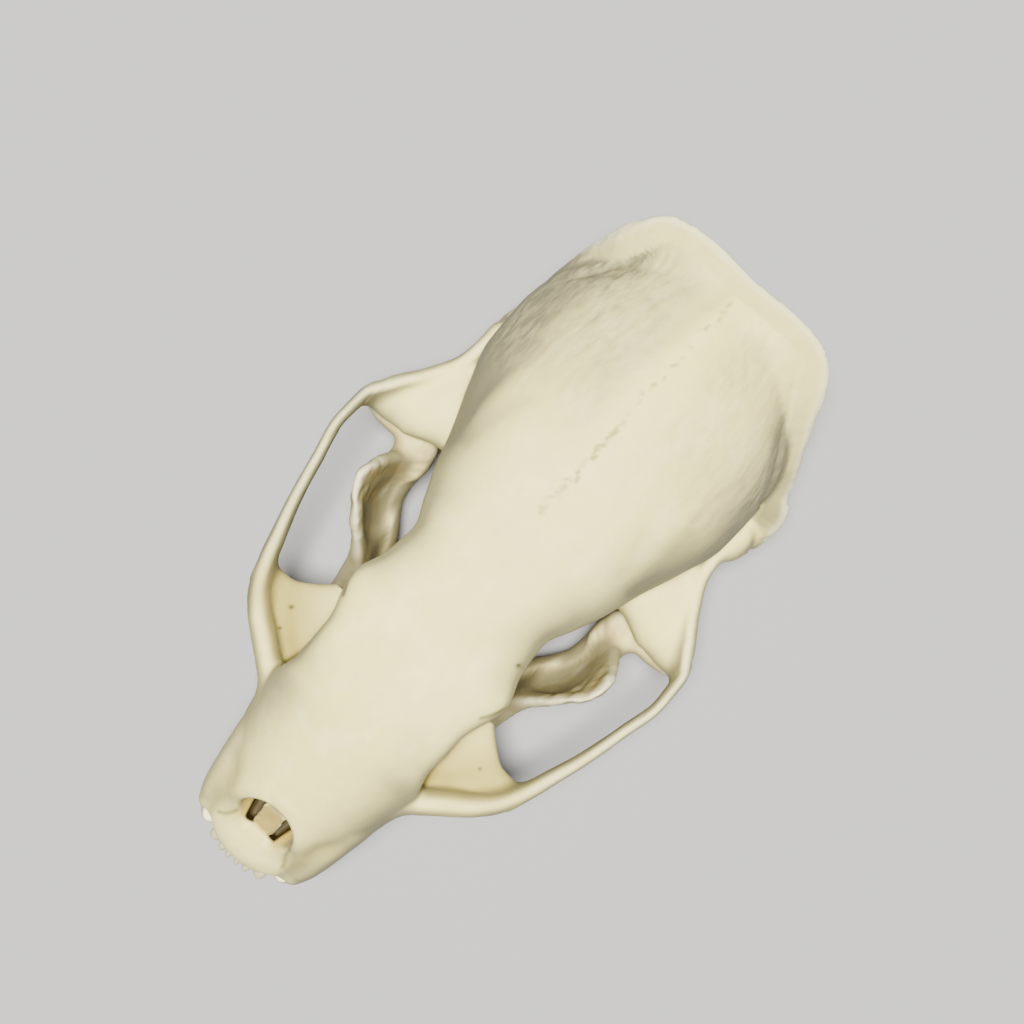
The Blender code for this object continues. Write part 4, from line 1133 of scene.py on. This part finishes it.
def jaw_plate(side):
    def distance(cells, x, y, z):
        curves = (JAW_TOP, JAW_BOTTOM, JAW_X, JAW_HALF, JAW_LEAN)
        top, bottom, middle, half, lean = (curve(y) for curve in curves)
        across = side * x - middle - lean * z
        value = power(across / half, 2.5) + power((2 * z - top - bottom) / (top - bottom), 2.78)
        return np.maximum(cells.even(value ** (1 / 2.6)), np.maximum(JAW_FRONT - y, y - JAW_REAR))

    low, high = sorted((side * 0.1, side * 16))
    return (low, JAW_FRONT, -0.2), (high, JAW_REAR, 22.2), distance


def jaw(side, word, bone, enamel):
    low, high = sorted((side * -0.4, side * 18.6))
    cells = Cells((low, -33.8, -0.6), (high, 9.2, 23), JAW_CELL)
    cells.apply(jaw_plate(side), 0)
    cells.apply(condyle_bar(side, 0, 0), 0.5)
    cells.apply(ribbon(flipped(side, JAW_NECK)), 0.8)
    cells.apply(strand(side, JAW_INNER, 20), 2.2)
    cells.apply(egg((side * 0.8, -29.4, 4.1), (1.2, 2.6, 2.3), (-24, 0, 0)), 1)
    cells.cut(egg((side * 13.9, -1.2, 9), (1.6, 4.2, 5.2)), 0.6)
    cells.cut(egg((side * 10.4, -1.4, 13.6), (1.3, 2.6, 5), (0, side * 9, 0)), 1.4)
    cells.cut(egg((side * 5.4, -26.2, 4.2), (0.8, 0.6, 0.45)), 0.2)
    cells.cut(egg((side * 6.3, -23.6, 3.9), (0.8, 0.45, 0.35)), 0.2)
    box = ((-20, -36, -2), (20, 12, 24))
    cells.cut(half_space(*box, (side * 0.15, 0, 0), (-side, 0, 0)), 0.3)
    cells.cut(half_space(*box, (0, 0, 0.02), (0, 0, -1)), 0.3)
    skin = cells.mesh(f"jaw_bone_{word}", 2)
    tint(skin, cells)
    points = skin.points
    high_up = fade(points[:, 2], 9, 14)
    streaks = lumps(points, (0.8, 0.7, 3.5), 21)
    skin.push(0.02 * lumps(points, (1.6, 2.2, 1.6), 9) + 0.012 * streaks + high_up * 0.05 * streaks)
    # painted shade in the dips between the streaks high on the jaw
    skin.add("hollow", 0.35 * high_up * fade(-streaks, 0, 0.5))
    knobs = lumps(points, 1.3, 61) + 0.5 * lumps(points, 0.7, 63)
    knobs *= fade(points[:, 2], 15.5, 19.5)
    skin.push(0.15 * knobs - 0.04)
    put(skin, bone, "jaw_bone", f"lower_jaw_{word}")

    low, high = sorted((side * 0.2, side * 10))
    teeth = Cells((low, -34.4, 4.4), (high, -9.4, 11.4), TOOTH_CELL)
    for (x, y), size in (((0.5, -32.2), 0.36), ((1.1, -31.9), 0.4), ((1.75, -32), 0.42)):
        place, tip = (side * x, y, 5.8), (side * x * 1.1, y - 0.8, 9.3)
        teeth.apply(crown(place, tip, (size, 0.33), (0, 0, 0), 1.8, 2.4, 0.4), 0.03)
    place, tip = (side * 2.45, -30.9, 5.6), (side * 3.4, -32.6, 10.7)
    teeth.apply(crown(place, tip, (1.15, 0.85), (side * 0.25, -0.1, 0)), 0.05)
    for (x, y), top, radii in LOWER_CUSPS:
        gum = float(JAW_TOP(y))
        teeth.apply(crown((side * x, y, gum - 1.2), (side * x, y, top), radii), 0.3)
        teeth.apply(egg((side * x, y, gum + 0.1), (radii[1] * 1.08, radii[0] * 1.1, 0.6)), 0.25)
    finish_teeth(teeth, f"lower_teeth_{word}", enamel, "jaw_bone", LOWER_GUM, -1)


studio()
BONE = bone_material(
    "bone", (0.80, 0.735, 0.32, 1), (0.80, 0.71, 0.27, 1), (0.75, 0.72, 0.39, 1), (0.41, 0.335, 0.10, 1)
)
# a darker copy of the bone: painted shade for the jaws, which lie in the skull's shadow
SHADED_JAW_BONE = bone_material(
    "jaw_bone", (0.58, 0.49, 0.24, 1), (0.55, 0.44, 0.18, 1), (0.53, 0.47, 0.27, 1), (0.34, 0.24, 0.08, 1)
)
ENAMEL = enamel_material()
cranium(BONE)
for side, word in ((1, "left"), (-1, "right")):
    upper_teeth(side, word, ENAMEL)
    jaw(side, word, SHADED_JAW_BONE, ENAMEL)
